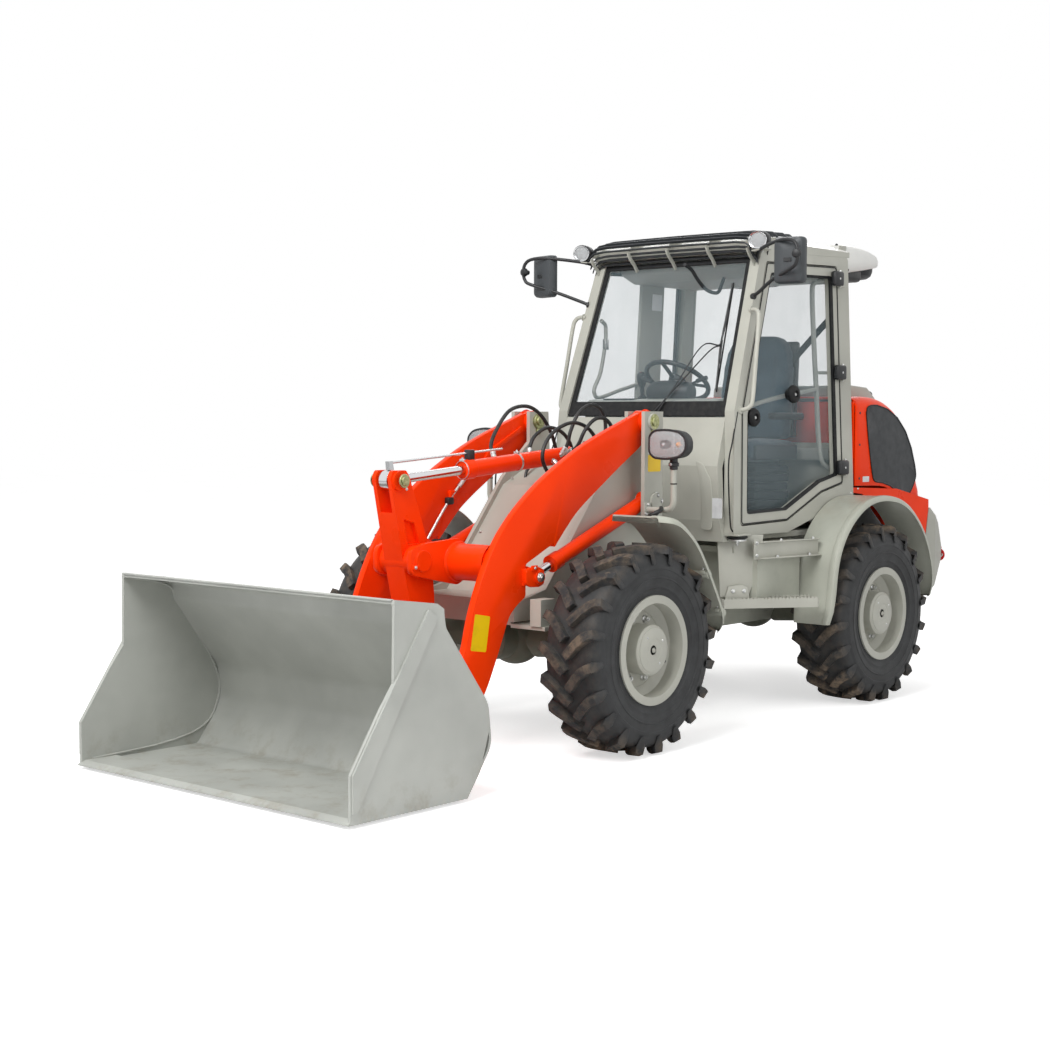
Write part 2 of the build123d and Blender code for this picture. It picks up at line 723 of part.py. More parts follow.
hose_radius = 13
cover_along = Vector(cover_front[0] - cover_rear[0], 0, cover_front[1] - cover_rear[1]).normalized()
cover_normal = Vector(-cover_along.Z, 0, cover_along.X)
hose_foot = Vector(cover_rear[0], 0, cover_rear[1]) + cover_along * 110 + cover_normal * run_gap
with BuildPart() as tilt_hoses:
    for hose_y in (-90, 90):
        beside = Vector(0, hose_y, 0)
        bent_tube(
            (hose_foot + beside, hose_foot + cover_normal * 190 + beside, (-430, hose_y, 1570),
             (-550, hose_y, 1510), (-550, hose_y, 1335 + run_gap)),
            60, hose_radius,
        )
store(tilt_hoses, "tilt_hoses")

# ---------------------------------------------------------------- rear frame
rear_axle_x = -wheelbase
rear_plate_y = 280
rear_plate = 20
rear_front_x = -1250
rear_end_x = -2950
rear_side = (
    (rear_front_x, 900),
    (rear_front_x, 560),
    (-1330, 440),
    (-1850, 440),
    (rear_axle_x + axle_arch_half, axle_clear_z),
    (rear_axle_x - axle_arch_half, axle_clear_z),
    (-2340, 500),
    (-2920, 500),
    (rear_end_x, 640),
    (rear_end_x, 800),
    (-2700, 900),
)
cab_beam_low = 900
cab_floor_low = 930
with BuildPart() as rear_frame:
    for high_y in (rear_plate_y, -rear_plate_y + rear_plate):
        plate(rear_side, high_y, rear_plate)
    inner_y = rear_plate_y - rear_plate
    block((rear_front_x - 20, -inner_y, 470), (rear_front_x, inner_y, 900))
    block((rear_front_x - 21, 50, 636), (rear_front_x + 1, inner_y, 724), mode=Mode.SUBTRACT)
    block((-1740, -inner_y, 560), (-1720, inner_y, 658))
    block((rear_end_x, -inner_y, 520), (rear_end_x + 20, inner_y, 780))
    block((-2340, -inner_y, 640), (-1720, inner_y, 658))
    block((rear_end_x, -inner_y, 730), (-2340, inner_y, 750))
    block((-2360, -inner_y, 640), (-2340, inner_y, 750))
    for seat_side in (-1, 1):
        low_y = min(seat_side * 175, seat_side * 285)
        block((rear_axle_x - 75, low_y, axle_z + 115), (rear_axle_x + 75, low_y + 110, 645))
    # hinge lugs between the front frame's lugs
    for lug_z in (566, 754):
        block((pivot_x, -75, lug_z), (rear_front_x - 10, 75, lug_z + 40))
        block((rear_front_x + 80, -130, lug_z), (rear_front_x - 10, 130, lug_z + 40))
        with Locations(at(pivot_x, 0, lug_z + 20)):
            Cylinder(75, 40)
    with Locations(at(pivot_x, 0, steer_z)):
        Cylinder(pivot_pin_radius + run_gap, 400, mode=Mode.SUBTRACT)
    # beams that carry the cab
    block((-1150, -560, cab_beam_low - 30), (-1070, 560, cab_beam_low))
    block((-1260, -200, cab_beam_low - 30), (-1140, 200, cab_beam_low))
    block((-2215, -540, cab_beam_low), (-2110, 540, cab_floor_low))
    for mount_y in (-480, 480):
        with Locations(at(-1110, mount_y, (cab_beam_low + cab_floor_low) / 2)):
            Cylinder(45, cab_floor_low - cab_beam_low)
    # steering cylinder's base fork
    for fork_z in (steer_z - 56, steer_z + 40):
        block((steer_base[0] - 45, steer_base[1] - 45, fork_z),
              (steer_base[0] + 40, inner_y + 2, fork_z + 16))
    with Locations(at(steer_base[0], steer_base[1], steer_z)):
        Cylinder(20, 112)
store(rear_frame, "rear_frame")

with BuildPart() as engine_block:
    block((-2920, -240, 750), (-2370, 240, 1330))
    block((-2860, -170, 1330), (-2430, 170, 1450))
store(engine_block, "engine_block")

# ---------------------------------------------------------------- tail
weight_half_width = 600
weight_rear_x = 58 - tail_reach
weight_outline = (
    (weight_rear_x + 254, 1044), (weight_rear_x + 97, 935), (weight_rear_x, 790),
    (weight_rear_x, 715), (weight_rear_x + 160, 565), (weight_rear_x + 260, 505),
    (rear_end_x, 505), (rear_end_x, 830), (weight_rear_x + 292, 830),
)
with BuildPart() as counterweight:
    rounded_plate(weight_outline, 12, weight_half_width, 2 * weight_half_width)
    for corner_side in (-1, 1):
        with BuildSketch(level_plane(400)) as corner:
            with BuildLine():
                Polyline(
                    (weight_rear_x + 172, corner_side * (weight_half_width + 1)),
                    (weight_rear_x - 48, corner_side * (weight_half_width + 1)),
                    (weight_rear_x - 48, corner_side * (weight_half_width - 60)),
                    close=True,
                )
            make_face()
        extrude(corner.sketch, amount=800, mode=Mode.SUBTRACT)
store(counterweight, "counterweight")

shackle_y = 518
shackle_z = 730
shackle_wire = 9
with BuildPart() as tie_down_shackles:
    for shackle_side in (-1, 1):
        block((-tail_reach, shackle_side * (shackle_y - 8), shackle_z),
              (weight_rear_x, shackle_side * (shackle_y + 8), shackle_z + 50))
        with Locations(at(shackle_wire * 2 - tail_reach, shackle_side * shackle_y, shackle_z)):
            Torus(30, shackle_wire, rotation=(0, 90, 0))
store(tie_down_shackles, "tie_down_shackles")

# ---------------------------------------------------------------- rear fenders, tanks and steps
fender_front_x = -wheelbase + 542
rear_fender_path = (
    (fender_front_x, 470), (fender_front_x, 720), (-wheelbase + 448, 950),
    (-wheelbase + 238, 1110), (-wheelbase + 8, 1152), (-wheelbase - 252, 1110),
    (-wheelbase - 452, 960), (-wheelbase - 572, 760), (-wheelbase - 610, 552),
)
rear_fender_inner_y = 618
rear_fender_outer_y = 860
rear_fender_bends = [120, 160, 220, 300, 220, 160, 120]
with BuildPart() as rear_fenders:
    for low_y in (rear_fender_inner_y, -rear_fender_outer_y):
        band(rear_fender_path, rear_fender_bends, 8,
             low_y + rear_fender_outer_y - rear_fender_inner_y,
             rear_fender_outer_y - rear_fender_inner_y)
store(rear_fenders, "rear_fenders")

tank_front_x = pivot_x - 106
tank_low_z = 600
step_sheet = 15
with BuildPart() as side_tanks:
    for tank_side in (-1, 1):
        block(
            (fender_front_x, tank_side * rear_plate_y, tank_low_z),
            (tank_front_x, tank_side * 650, 920),
        )
store(side_tanks, "side_tanks")

with BuildPart() as steps:
    for step_side in (-1, 1):
        block((fender_front_x, step_side * 600, tank_low_z - step_sheet),
              (tank_front_x, step_side * 800, tank_low_z))
store(steps, "steps")

# ---------------------------------------------------------------- cab
cab_half_low = 615                  # half width at the sill line
cab_half_top = 545                  # half width under the roof
cab_low_z = 1000
cab_top_z = 2450
lean_rise = cab_top_z - cab_low_z
lean_in = cab_half_low - cab_half_top
pillar = 60


lean_stretch = (lean_in ** 2 + lean_rise ** 2) ** 0.5 / lean_rise
side_frame = (
    (-985, 960), (-1028, 1607), (-1318, 2440), (-2200, 2470), (-2190, 1120), (-2060, 1100),
    (-1500, 960),
)
side_opening = (
    (-1050, 1010), (-1088, 1595), (-1366, 2392), (-2080, 2415), (-2080, 1205), (-1850, 1160),
    (-1495, 1020),
)
opening_bend = 20
door_gap = 6
door_rail = 56
door_depth = 45
pane_lap = 14                       # how far a pane reaches behind its frame
pane_sheet = 5


def lean_half(z, inset=0):
    """Half the cab's width at a height, less an inset square to the side face."""
    return cab_half_low - inset * lean_stretch - lean_in * (z - cab_low_z) / lean_rise


def lean_plane(side, inset=0):
    """The cab's leaning side face; sketch x runs forward and y up the lean."""
    slope = Vector(0, -side * lean_in, lean_rise).normalized()
    inwards = Vector(0, -side * lean_rise, -lean_in).normalized()
    face = Vector(*at(0, side * cab_half_low, cab_low_z))
    return Plane(
        origin=face + inwards * inset, x_dir=(1, 0, 0), z_dir=Vector(1, 0, 0).cross(slope),
    )


def lean_outline(outline, grow, mode=Mode.ADD):
    """Adds an outline of x and z pairs to a sketch on the leaning side face."""
    drawn = [(x, (z - cab_low_z) * lean_stretch) for x, z in outline]
    with BuildSketch(mode=Mode.PRIVATE) as shape:
        with BuildLine():
            FilletPolyline(*drawn, radius=opening_bend, close=True)
        make_face()
        if grow:
            offset(amount=grow, mode=Mode.REPLACE)
    add(shape.sketch, mode=mode)


def lean_plate(side, outline, thickness, inset=0, grow=0, hole_grow=None, hole=None):
    """A plate in the cab's leaning side face, thickness inwards, with an optional hole."""
    with BuildSketch(lean_plane(side, inset)) as drawing:
        lean_outline(outline, grow)
        if hole_grow is not None:
            lean_outline(hole or outline, hole_grow, mode=Mode.SUBTRACT)
    extrude(drawing.sketch, amount=side * thickness)


def inside_cab(low_z, high_z):
    """Keeps only what lies between the insides of the two side frames."""
    with BuildSketch(face_plane(-2400)) as drawing:
        with BuildLine():
            Polyline(
                (-lean_half(low_z, pillar), low_z), (lean_half(low_z, pillar), low_z),
                (lean_half(high_z, pillar), high_z), (-lean_half(high_z, pillar), high_z),
                close=True,
            )
        make_face()
    extrude(drawing.sketch, amount=1700, mode=Mode.INTERSECT)


screen_low = (-1042, 1572)
screen_high = (-1334, 2420)


def screen_x(z):
    """The windscreen's rear face, as an x for a height."""
    share = (z - screen_low[1]) / (screen_high[1] - screen_low[1])
    return screen_low[0] + share * (screen_high[0] - screen_low[0])


roof_rail_z = 2395
hinge_x = -2077
hinge_out = 18
hinge_pin_radius = 8
hinge_knuckle_radius = 13
hinge_heights = (1292, 1820, 2340)
with BuildPart() as cab_rails:
    # rails across the front and the rear of the roof, and the rear window's lower rail
    plate(
        ((screen_x(roof_rail_z), roof_rail_z), (screen_x(2438), 2438), (-1400, 2438),
         (-1400, roof_rail_z)),
        600, 1200,
    )
    block((-2200, -600, roof_rail_z), (-2140, 600, 2450))
    block((-2200, -600, 1380), (-2150, 600, 1430))
    inside_cab(900, 2500)
with BuildPart() as cab_frame:
    for side in (-1, 1):
        lean_plate(side, side_frame, pillar, hole=side_opening, hole_grow=0)
    add(cab_rails.part)
    # the door's hinge pins, each on a plate that reaches back over the pillar
    for hinge_z in hinge_heights:
        rod_between(
            (hinge_x, lean_half(hinge_z - 34) + hinge_out, hinge_z - 34),
            (hinge_x, lean_half(hinge_z + 30) + hinge_out, hinge_z + 30), hinge_pin_radius)
        outer = lean_half(hinge_z - 42)
        block((hinge_x - 45, outer - 4, hinge_z - 42),
              (hinge_x - 11, outer + hinge_out + 12, hinge_z - 30))
        block((hinge_x - 11, outer + 6, hinge_z - 42),
              (hinge_x + 12, outer + hinge_out + 12, hinge_z - 30))
store(cab_frame, "cab_frame")

with BuildPart() as cab_panels:
    # floor, rear wall under the window, bulged front panel and cowl
    block((-2190, -600, cab_floor_low), (-1000, 600, cab_floor_low + 30))
    block((-2190, -600, cab_floor_low), (-2160, 600, 1380))
    front_panel = (
        (-1060, cab_floor_low), (-975, cab_floor_low), (-945, 1040), (-945, 1320), (-985, 1440),
        (-1030, 1570), (-1075, 1570), (-1045, 1440), (-990, 1310), (-990, 1060),
    )
    plate(front_panel, 600, 1200)
    inside_cab(900, 2500)
store(cab_panels, "cab_panels")

roof_top_z = 2545
with BuildPart() as cab_roof:
    roof_section = (
        (-1290, 2440), (-1290, 2500), (-1400, 2540), (-1700, roof_top_z),
        (-2180, 2530), (-2215, 2500), (-2215, 2470.6), (-2200, 2470), (-1318, 2440),
    )
    plate(roof_section, 545, 1090)
    for corner_side in (-1, 1):
        with BuildSketch(face_plane(-2300)) as corner:
            with BuildLine():
                Polyline(
                    (corner_side * 546, 2500), (corner_side * 546, 2600),
                    (corner_side * 430, 2600), (corner_side * 430, 2546), close=True,
                )
            make_face()
        extrude(corner.sketch, amount=1100, mode=Mode.SUBTRACT)
store(cab_roof, "cab_roof")

with BuildPart() as cab_glass:
    # windscreen and rear window
    plate(
        (screen_low, screen_high, (screen_high[0] + pane_sheet, screen_high[1]),
         (screen_low[0] + pane_sheet, screen_low[1])),
        600, 1200,
    )
    block((-2180, -600, 1430), (-2174, 600, roof_rail_z))
    inside_cab(900, 2500)
    # the right-hand window fills its frame
    lean_plate(-1, side_opening, pane_sheet, inset=pillar / 2)
store(cab_glass, "cab_glass")

with BuildPart() as roof_guard:
    for guard_y in (-420, -210, 0, 210, 420):
        plate(
            ((-1205, 2475), (-1190, 2490), (-1390, 2572), (-1650, 2574), (-1700, 2545),
             (-1400, 2541)),
            guard_y + 4, 8,
        )
    for slat in ((-1210, 2485), (-1270, 2510), (-1330, 2535), (-1400, 2557), (-1480, 2560),
                 (-1560, 2561), (-1640, 2560)):
        cross_bar(slat, 7, 900)
store(roof_guard, "roof_guard")

# ---------------------------------------------------------------- cab fittings
with BuildPart() as seat_base:
    block((-2050, -200, cab_floor_low + 30), (-1650, 200, 1330))
store(seat_base, "seat_base")
with BuildPart() as seat_cushion:
    block((-2080, -240, 1330), (-1600, 240, 1450))
store(seat_cushion, "seat_cushion")
with BuildPart() as seat_back:
    plate(((-2080, 1450), (-1960, 1450), (-2040, 2030), (-2110, 2030)), 230, 460)
store(seat_back, "seat_back")

console_low = (-1260, 1500)         # the dash's sloping top, side view
console_high = (-1170, 1560)
console_slope = (Vector(*console_high) - Vector(*console_low)).normalized()
column_foot = (-1215, 0, 1530)
column_length = 290
wheel_hub = (
    column_foot[0] - console_slope.Y * column_length, 0,
    column_foot[2] + console_slope.X * column_length,
)
wheel_tilt = -console_slope.get_angle(Vector(1, 0))
with BuildPart() as steering_wheel:
    with Locations(Location(at(*wheel_hub), (0, wheel_tilt, 0))):
        Torus(180, 14)
        Cylinder(40, 24)
        Box(24, 350, 14)
        Box(350, 24, 14)
    rod_between(column_foot, wheel_hub, 32)
store(steering_wheel, "steering_wheel")

with BuildPart() as dash_console:
    plate(((-1050, 1320), (-1050, 960), (-1240, 960), console_low, console_high), 180, 360)
    block((-1950, -480, cab_floor_low + 30), (-1500, -290, 1450))
    rod_between((-1560, -385, 1440), (-1540, -385, 1640), 14)
    with Locations(at(-1540, -385, 1660)):
        Sphere(34)
store(dash_console, "dash_console")

# ---------------------------------------------------------------- cab outside
with BuildPart() as air_conditioner:
    plate(
        ((-2215, 2400), (-2215, 2530), (-2300, 2560), (-2720, 2550), (-2850, 2490), (-2850, 2420),
         (-2780, 2385), (-2300, 2385)),
        450, 900,
    )
store(air_conditioner, "air_conditioner")

with BuildPart() as mirrors:
    for mirror_side in (-1, 1):
        bent_tube(
            ((-1330, mirror_side * 545, 2475), (-1330, mirror_side * 625, 2475),
             (-1180, mirror_side * 730, 2440), (-1087, mirror_side * 884, 2390)),
            [40, 60], 11,
        )
        with Locations(Location(at(-1095, mirror_side * 900, 2260), (0, 0, mirror_side * 12))):
            Box(60, 180, 300)
store(mirrors, "mirrors")

with BuildPart() as roof_lamps:
    for roof_lamp_side in (-1, 1):
        with Locations(at(-1225, roof_lamp_side * 581, 2500)):
            Cylinder(62, 70, rotation=(0, 90, 0))
        rod_between((-1312, roof_lamp_side * 545, 2500),
                    (-1312, roof_lamp_side * 581, 2500), 12)
        rod_between((-1318, roof_lamp_side * 581, 2500),
                    (-1225, roof_lamp_side * 581, 2500), 12)
store(roof_lamps, "roof_lamps")

with BuildPart() as handrails:
    for rail_side in (-1, 1):
        bent_tube(
            ((-1012, rail_side * (lean_half(1160) + 0.7), 1160), (-1012, rail_side * 672, 1160),
             (-1075, rail_side * 645, 1720),
             (-1075, rail_side * (lean_half(1720) + 0.7), 1720)),
            [30, 30], 12,
        )
store(handrails, "handrails")

# ---------------------------------------------------------------- door
with BuildPart() as door_frame:
    lean_plate(1, side_opening, door_depth, grow=-door_gap, hole_grow=-door_gap - door_rail)
    for hinge_z in hinge_heights:
        outer = lean_half(hinge_z)
        rod_between(
            (hinge_x, lean_half(hinge_z - 24) + hinge_out, hinge_z - 24),
            (hinge_x, lean_half(hinge_z + 24) + hinge_out, hinge_z + 24), hinge_knuckle_radius)
        block((hinge_x, outer - 3, hinge_z - 22), (hinge_x + 50, outer + hinge_out, hinge_z + 22))
        rod_between(
            (hinge_x, lean_half(hinge_z - 60) + hinge_out, hinge_z - 60),
            (hinge_x, lean_half(hinge_z + 60) + hinge_out, hinge_z + 60),
            hinge_pin_radius + run_gap, mode=Mode.SUBTRACT)
store(door_frame, "door_frame")
with BuildPart() as door_glass:
    lean_plate(1, side_opening, pane_sheet, inset=door_depth,
               grow=pane_lap - door_gap - door_rail)
store(door_glass, "door_glass")

# ---------------------------------------------------------------- hood
hood_front_half = 600
hood_rear_half = 560
hood_wall = 8
hood_outline = (
    (-2215, 1690), (-2450, 1690), (-2700, 1630), (-2910, 1444), (-3040, 1200), (-3085, 1100),
    (-2700, 1170), (-2215, 1190),
)
hood_plan = (
    (-2100, hood_front_half), (-2300, hood_front_half), (-2980, 575), (-3120, 470),
    (-3120, -470), (-2980, -575), (-2300, -hood_front_half), (-2100, -hood_front_half),
)
hood_inside = (
    (-2100, 1681), (-2449, 1681), (-2696, 1622), (-2903, 1438), (-3032, 1196), (-3078, 1090),
    (-3060, 1000), (-2100, 1000),
)
inside_plan = (
    (-2100, 592), (-2300, 592), (-2978, 567), (-3110, 466),
    (-3110, -466), (-2978, -567), (-2300, -592), (-2100, -592),
)
grille_outline = ((-2330, 1655), (-2720, 1570), (-2975, 1210), (-2400, 1230))


def plan_cut(outline):
    with BuildSketch(level_plane(300)) as drawing:
        with BuildLine():
            Polyline(*outline, close=True)
        make_face()
    extrude(drawing.sketch, amount=1600, mode=Mode.INTERSECT)


hood_hinge = (-2212, 1684)
hood_hinge_y = 400
with BuildPart() as hood_core:
    plate(hood_inside, 620, 1240)
    plan_cut(inside_plan)
with BuildPart() as hood:
    plate(hood_outline, 620, 1240)
    plan_cut(hood_plan)
    add(hood_core.part, mode=Mode.SUBTRACT)
    plate(grille_outline, 700, 1400, mode=Mode.SUBTRACT)
    plate(((-2300, 1690), (-2330, 1765), (-2640, 1765), (-2700, 1630), (-2450, 1690)), 300, 600)
    for hinge_side in (-1, 1):
        cross_bar(hood_hinge, 14, 60, hinge_side * hood_hinge_y)
        cross_bar(hood_hinge, hinge_pin_radius + run_gap, 96, hinge_side * hood_hinge_y,
                  mode=Mode.SUBTRACT)
store(hood, "hood")

grille_inside_plan = (
    (-2100, 586), (-2300, 586), (-2978, 561), (-3110, 460),
    (-3110, -460), (-2978, -561), (-2300, -586), (-2100, -586),
)
grille_panel = ((-2322, 1662), (-2724, 1577), (-2975, 1203), (-2392, 1222))
with BuildPart() as grille_core:
    plate(hood_inside, 620, 1240)
    plan_cut(grille_inside_plan)
with BuildPart() as hood_grilles:
    plate(grille_panel, 620, 1240)
    plan_cut(inside_plan)
    add(grille_core.part, mode=Mode.SUBTRACT)
store(hood_grilles, "hood_grilles")

with BuildPart() as rear_body:
    skirt = (
        (-2200, 1180), (-2700, 1160), (-3090, 1085), (-3092, 1040), (-3055, 860), (-3000, 840),
        (-2720, 905), (-2560, 960), (-2500, 1060), (-2300, 1140), (-2200, 1150),
    )
    plate(skirt, 600, 8)
    plate(skirt, -592, 8)
    plate(((-3092, 1040), (-3090, 1085), (-3082, 1085), (-3084, 1040), (-3060, 900), (-3068, 900)),
          592, 1184)
    block((-2215, -540, cab_floor_low), (-2200, 540, 1160))
    block((-2215, -592, 1155), (-2200, 592, 1664))
    for hinge_side in (-1, 1):
        for ear_y in (-44, 32):
            block((-2214.5, hinge_side * hood_hinge_y + ear_y, 1650),
                  (-2200, hinge_side * hood_hinge_y + ear_y + 12, hood_hinge[1] + 6))
        cross_bar(hood_hinge, hinge_pin_radius, 88, hinge_side * hood_hinge_y)
store(rear_body, "rear_body")
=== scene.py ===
import json
from math import cos, pi, radians, sin, sqrt, tan, tau

import bmesh
import bpy
from mathutils import Matrix, Vector


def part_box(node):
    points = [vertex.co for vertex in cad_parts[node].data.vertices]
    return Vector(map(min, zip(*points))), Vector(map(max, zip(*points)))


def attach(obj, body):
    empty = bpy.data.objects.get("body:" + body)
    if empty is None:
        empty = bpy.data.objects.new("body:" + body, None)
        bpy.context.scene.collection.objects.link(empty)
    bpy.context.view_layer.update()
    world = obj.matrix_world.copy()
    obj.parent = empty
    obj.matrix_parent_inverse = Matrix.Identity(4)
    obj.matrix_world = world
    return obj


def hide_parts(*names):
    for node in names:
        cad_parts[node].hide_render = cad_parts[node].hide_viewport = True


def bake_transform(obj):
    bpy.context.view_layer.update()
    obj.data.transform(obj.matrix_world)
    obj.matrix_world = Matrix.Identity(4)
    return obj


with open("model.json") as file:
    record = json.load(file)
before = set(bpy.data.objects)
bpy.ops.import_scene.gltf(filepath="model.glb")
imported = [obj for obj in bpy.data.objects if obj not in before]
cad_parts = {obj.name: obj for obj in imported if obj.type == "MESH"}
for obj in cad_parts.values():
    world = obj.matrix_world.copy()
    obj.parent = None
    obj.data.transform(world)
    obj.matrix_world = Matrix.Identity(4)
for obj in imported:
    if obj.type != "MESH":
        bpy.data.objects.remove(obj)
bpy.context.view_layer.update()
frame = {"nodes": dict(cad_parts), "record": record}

bl_info = {
    "name": "Wheel loader", "version": (1, 0, 0), "blender": (4, 5, 0),
    "location": "3D View > Sidebar > Loader",
    "description": "Dresses the loader's solids with tyres, glazing, lamps, hoses and paint",
    "category": "Object",
}

# The front axle's middle is where every size below is measured from, in millimetres.
AXLE_X = sum(corner[0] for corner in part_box("rim_front_left")) / 2
MM = 0.001


def at(x, y, z):
    """A place in millimetres from the ground under the front axle, in the row frame."""
    return Vector((AXLE_X + x * MM, y * MM, z * MM))


def linear(code):
    """An sRGB hex colour as the linear values that Blender wants."""
    parts = [int(code[index:index + 2], 16) / 255 for index in (1, 3, 5)]
    return tuple(p / 12.92 if p <= 0.04045 else ((p + 0.055) / 1.055) ** 2.4 for p in parts)


# ------------------------------------------------------------------ settings
class LoaderColours(bpy.types.PropertyGroup):
    """The paints and plastics of the machine."""
    orange: bpy.props.FloatVectorProperty(
        name="Orange", description="Enamel on the arms, cylinders and hood",
        subtype="COLOR", size=3, min=0, max=1, default=linear("#FF3D06"))
    warm_grey: bpy.props.FloatVectorProperty(
        name="Warm grey", description="Enamel on the frame, cab and rims",
        subtype="COLOR", size=3, min=0, max=1, default=linear("#B3B3A9"))
    olive_grey: bpy.props.FloatVectorProperty(
        name="Olive grey", description="Enamel on the axles, fenders and rear frame",
        subtype="COLOR", size=3, min=0, max=1, default=linear("#B0B2A6"))
    bucket_grey: bpy.props.FloatVectorProperty(
        name="Bucket grey", description="Enamel on the bucket's sheet",
        subtype="COLOR", size=3, min=0, max=1, default=linear("#B0B2AC"))
    rubber: bpy.props.FloatVectorProperty(
        name="Rubber", description="Clean tyre rubber",
        subtype="COLOR", size=3, min=0, max=1, default=linear("#2E2F30"))
    dust: bpy.props.FloatVectorProperty(
        name="Dust", description="Dry soil that lies on treads and ledges",
        subtype="COLOR", size=3, min=0, max=1, default=linear("#8E7C68"))


class LoaderSizes(bpy.types.PropertyGroup):
    """The sizes of the repeated parts."""
    lugs: bpy.props.IntProperty(
        name="Lugs", description="Tread lugs on each half of a tyre", default=20, min=8, max=40)
    lug_height: bpy.props.FloatProperty(
        name="Lug height", description="From the carcass to the lug's face",
        default=0.032, min=0.01, max=0.06, unit="LENGTH")
    wheel_nuts: bpy.props.IntProperty(
        name="Wheel nuts", description="Nuts on each wheel's bolt circle", default=8, min=4, max=12)
    nut_circle: bpy.props.FloatProperty(
        name="Nut circle", description="Radius of the wheel's bolt circle",
        default=0.1475, min=0.1, max=0.2, unit="LENGTH")
    guard_slats: bpy.props.IntProperty(
        name="Guard slats", description="Slats across the roof guard", default=12, min=4, max=20)


# ------------------------------------------------------------------ materials
def add(tree, kind, inputs=None, **settings):
    """Adds a node with its settings; an input takes a value or the socket that feeds it."""
    made = tree.nodes.new(kind)
    for key, value in settings.items():
        setattr(made, key, value)
    for key, value in (inputs or {}).items():
        if isinstance(value, bpy.types.NodeSocket):
            tree.links.new(value, made.inputs[key])
        else:
            made.inputs[key].default_value = value
    return made


def begin(name, **constants):
    """A new material's tree, its shader with the constants set, and its Object coordinates."""
    made = bpy.data.materials.new(name)
    made.use_nodes = True
    tree = made.node_tree
    tree.nodes.clear()
    shader = add(tree, "ShaderNodeBsdfPrincipled")
    add(tree, "ShaderNodeOutputMaterial", {"Surface": shader.outputs[0]})
    for key, value in constants.items():
        shader.inputs[key.replace("_", " ")].default_value = value
    return made, tree, shader, add(tree, "ShaderNodeTexCoord").outputs["Object"]


def tint(colour):
    """A hex code, or the name of a colour in the panel, as linear values."""
    return linear(colour) if colour.startswith("#") else getattr(
        bpy.context.scene.loader_colours, colour)


def rgba(colour, factor=1.0):
    """A hex code or a panel colour as four linear numbers, lightened or darkened by a factor."""
    return tuple(min(1.0, part * factor) for part in tint(colour)) + (1.0,)


def patches(
        tree, place, millimetres, low=0.0, high=1.0, least=0.0, most=1.0, detail=3.0, rough=0.55):
    """Patches about this many millimetres across: noise between two of its levels, as a value
    from the least to the most."""
    noise = add(tree, "ShaderNodeTexNoise", {
        "Vector": place, "Scale": 1000 / millimetres, "Detail": detail, "Roughness": rough})
    return add(tree, "ShaderNodeMapRange", {
        0: noise.outputs[0], 1: low, 2: high, 3: least, 4: most}).outputs[0]


def layer(tree, base, colour, *masks):
    """Lays a colour over a base as far as all the masks let it through."""
    share = masks[0]
    for mask in masks[1:]:
        share = add(tree, "ShaderNodeMath", {0: share, 1: mask}, operation="MULTIPLY").outputs[0]
    return add(tree, "ShaderNodeMix", {0: share, 6: base, 7: colour}, data_type="RGBA").outputs[2]


def feed(tree, shader, colour, rough):
    """Feeds a shader its colour and how rough it is."""
    tree.links.new(colour, shader.inputs["Base Color"])
    tree.links.new(rough, shader.inputs["Roughness"])


def relief(tree, shader, height, millimetres, strength=1.0, rounding=0.0):
    """Puts a relief of this many millimetres on a shader, with its edges rounded."""
    inputs = {"Height": height, "Distance": millimetres * MM, "Strength": strength}
    if rounding:
        soft = add(tree, "ShaderNodeBevel", {"Radius": rounding * MM}, samples=4)
        inputs["Normal"] = soft.outputs[0]
    made = add(tree, "ShaderNodeBump", inputs)
    tree.links.new(made.outputs[0], shader.inputs["Normal"])


def enamel(name, colour, rough=0.34, dust=0.25, edge_wear_and_highlight=0.35, peel=0.10, shine=0.4, coat=0.15):
    """Two-pack enamel sprayed on steel: a soft gloss with orange peel, faint clouds where
    the coat is thicker, dust on the ledges, and a lighter tone in patches along rounded
    edges that is partly worn paint and partly a painted highlight."""
    made, tree, shader, place = begin(
        name, Specular_IOR_Level=shine, Coat_Weight=coat, Coat_Roughness=0.12,
        Specular_Tint=tuple(0.45 + 0.55 * part for part in tint(colour)) + (1.0,))
    base = layer(tree, rgba(colour, 0.9), rgba(colour, 1.06), patches(tree, place, 420, 0.35, 0.65))
    base = layer(tree, base, rgba(colour, 0.62),
                 patches(tree, place, 55, 0.5, 0.75, 0.0, 0.35, detail=5.0), dust)
    facing = add(tree, "ShaderNodeNewGeometry").outputs["Normal"]
    upward = add(tree, "ShaderNodeSeparateXYZ", {0: facing}).outputs[2]
    ledge = add(tree, "ShaderNodeMapRange", {0: upward, 1: 0.75, 2: 1.0}).outputs[0]
    base = layer(
        tree, base, rgba("dust", 1.1), ledge, patches(tree, place, 90, 0.4, 0.7, detail=6.0), dust)
    # lighter colour in patches along rounded edges: partly edge wear, partly a painted highlight
    soft = add(tree, "ShaderNodeBevel", {"Radius": 2.2 * MM}, samples=4)
    match = add(tree, "ShaderNodeVectorMath", {0: soft.outputs[0], 1: facing},
                operation="DOT_PRODUCT").outputs["Value"]
    edge = add(tree, "ShaderNodeMapRange", {0: match, 1: 0.995, 2: 0.93}).outputs[0]
    base = layer(
        tree, base, rgba(colour, 1.25), edge, patches(tree, place, 26, 0.46, 0.6, detail=4.0), edge_wear_and_highlight)
    feed(tree, shader, base, patches(tree, place, 160, 0.3, 0.7, rough - 0.05, rough + 0.1, 4.0))
    relief(tree, shader, patches(tree, place, 4.0, detail=2.0), peel, 0.5, 2.5)
    return made


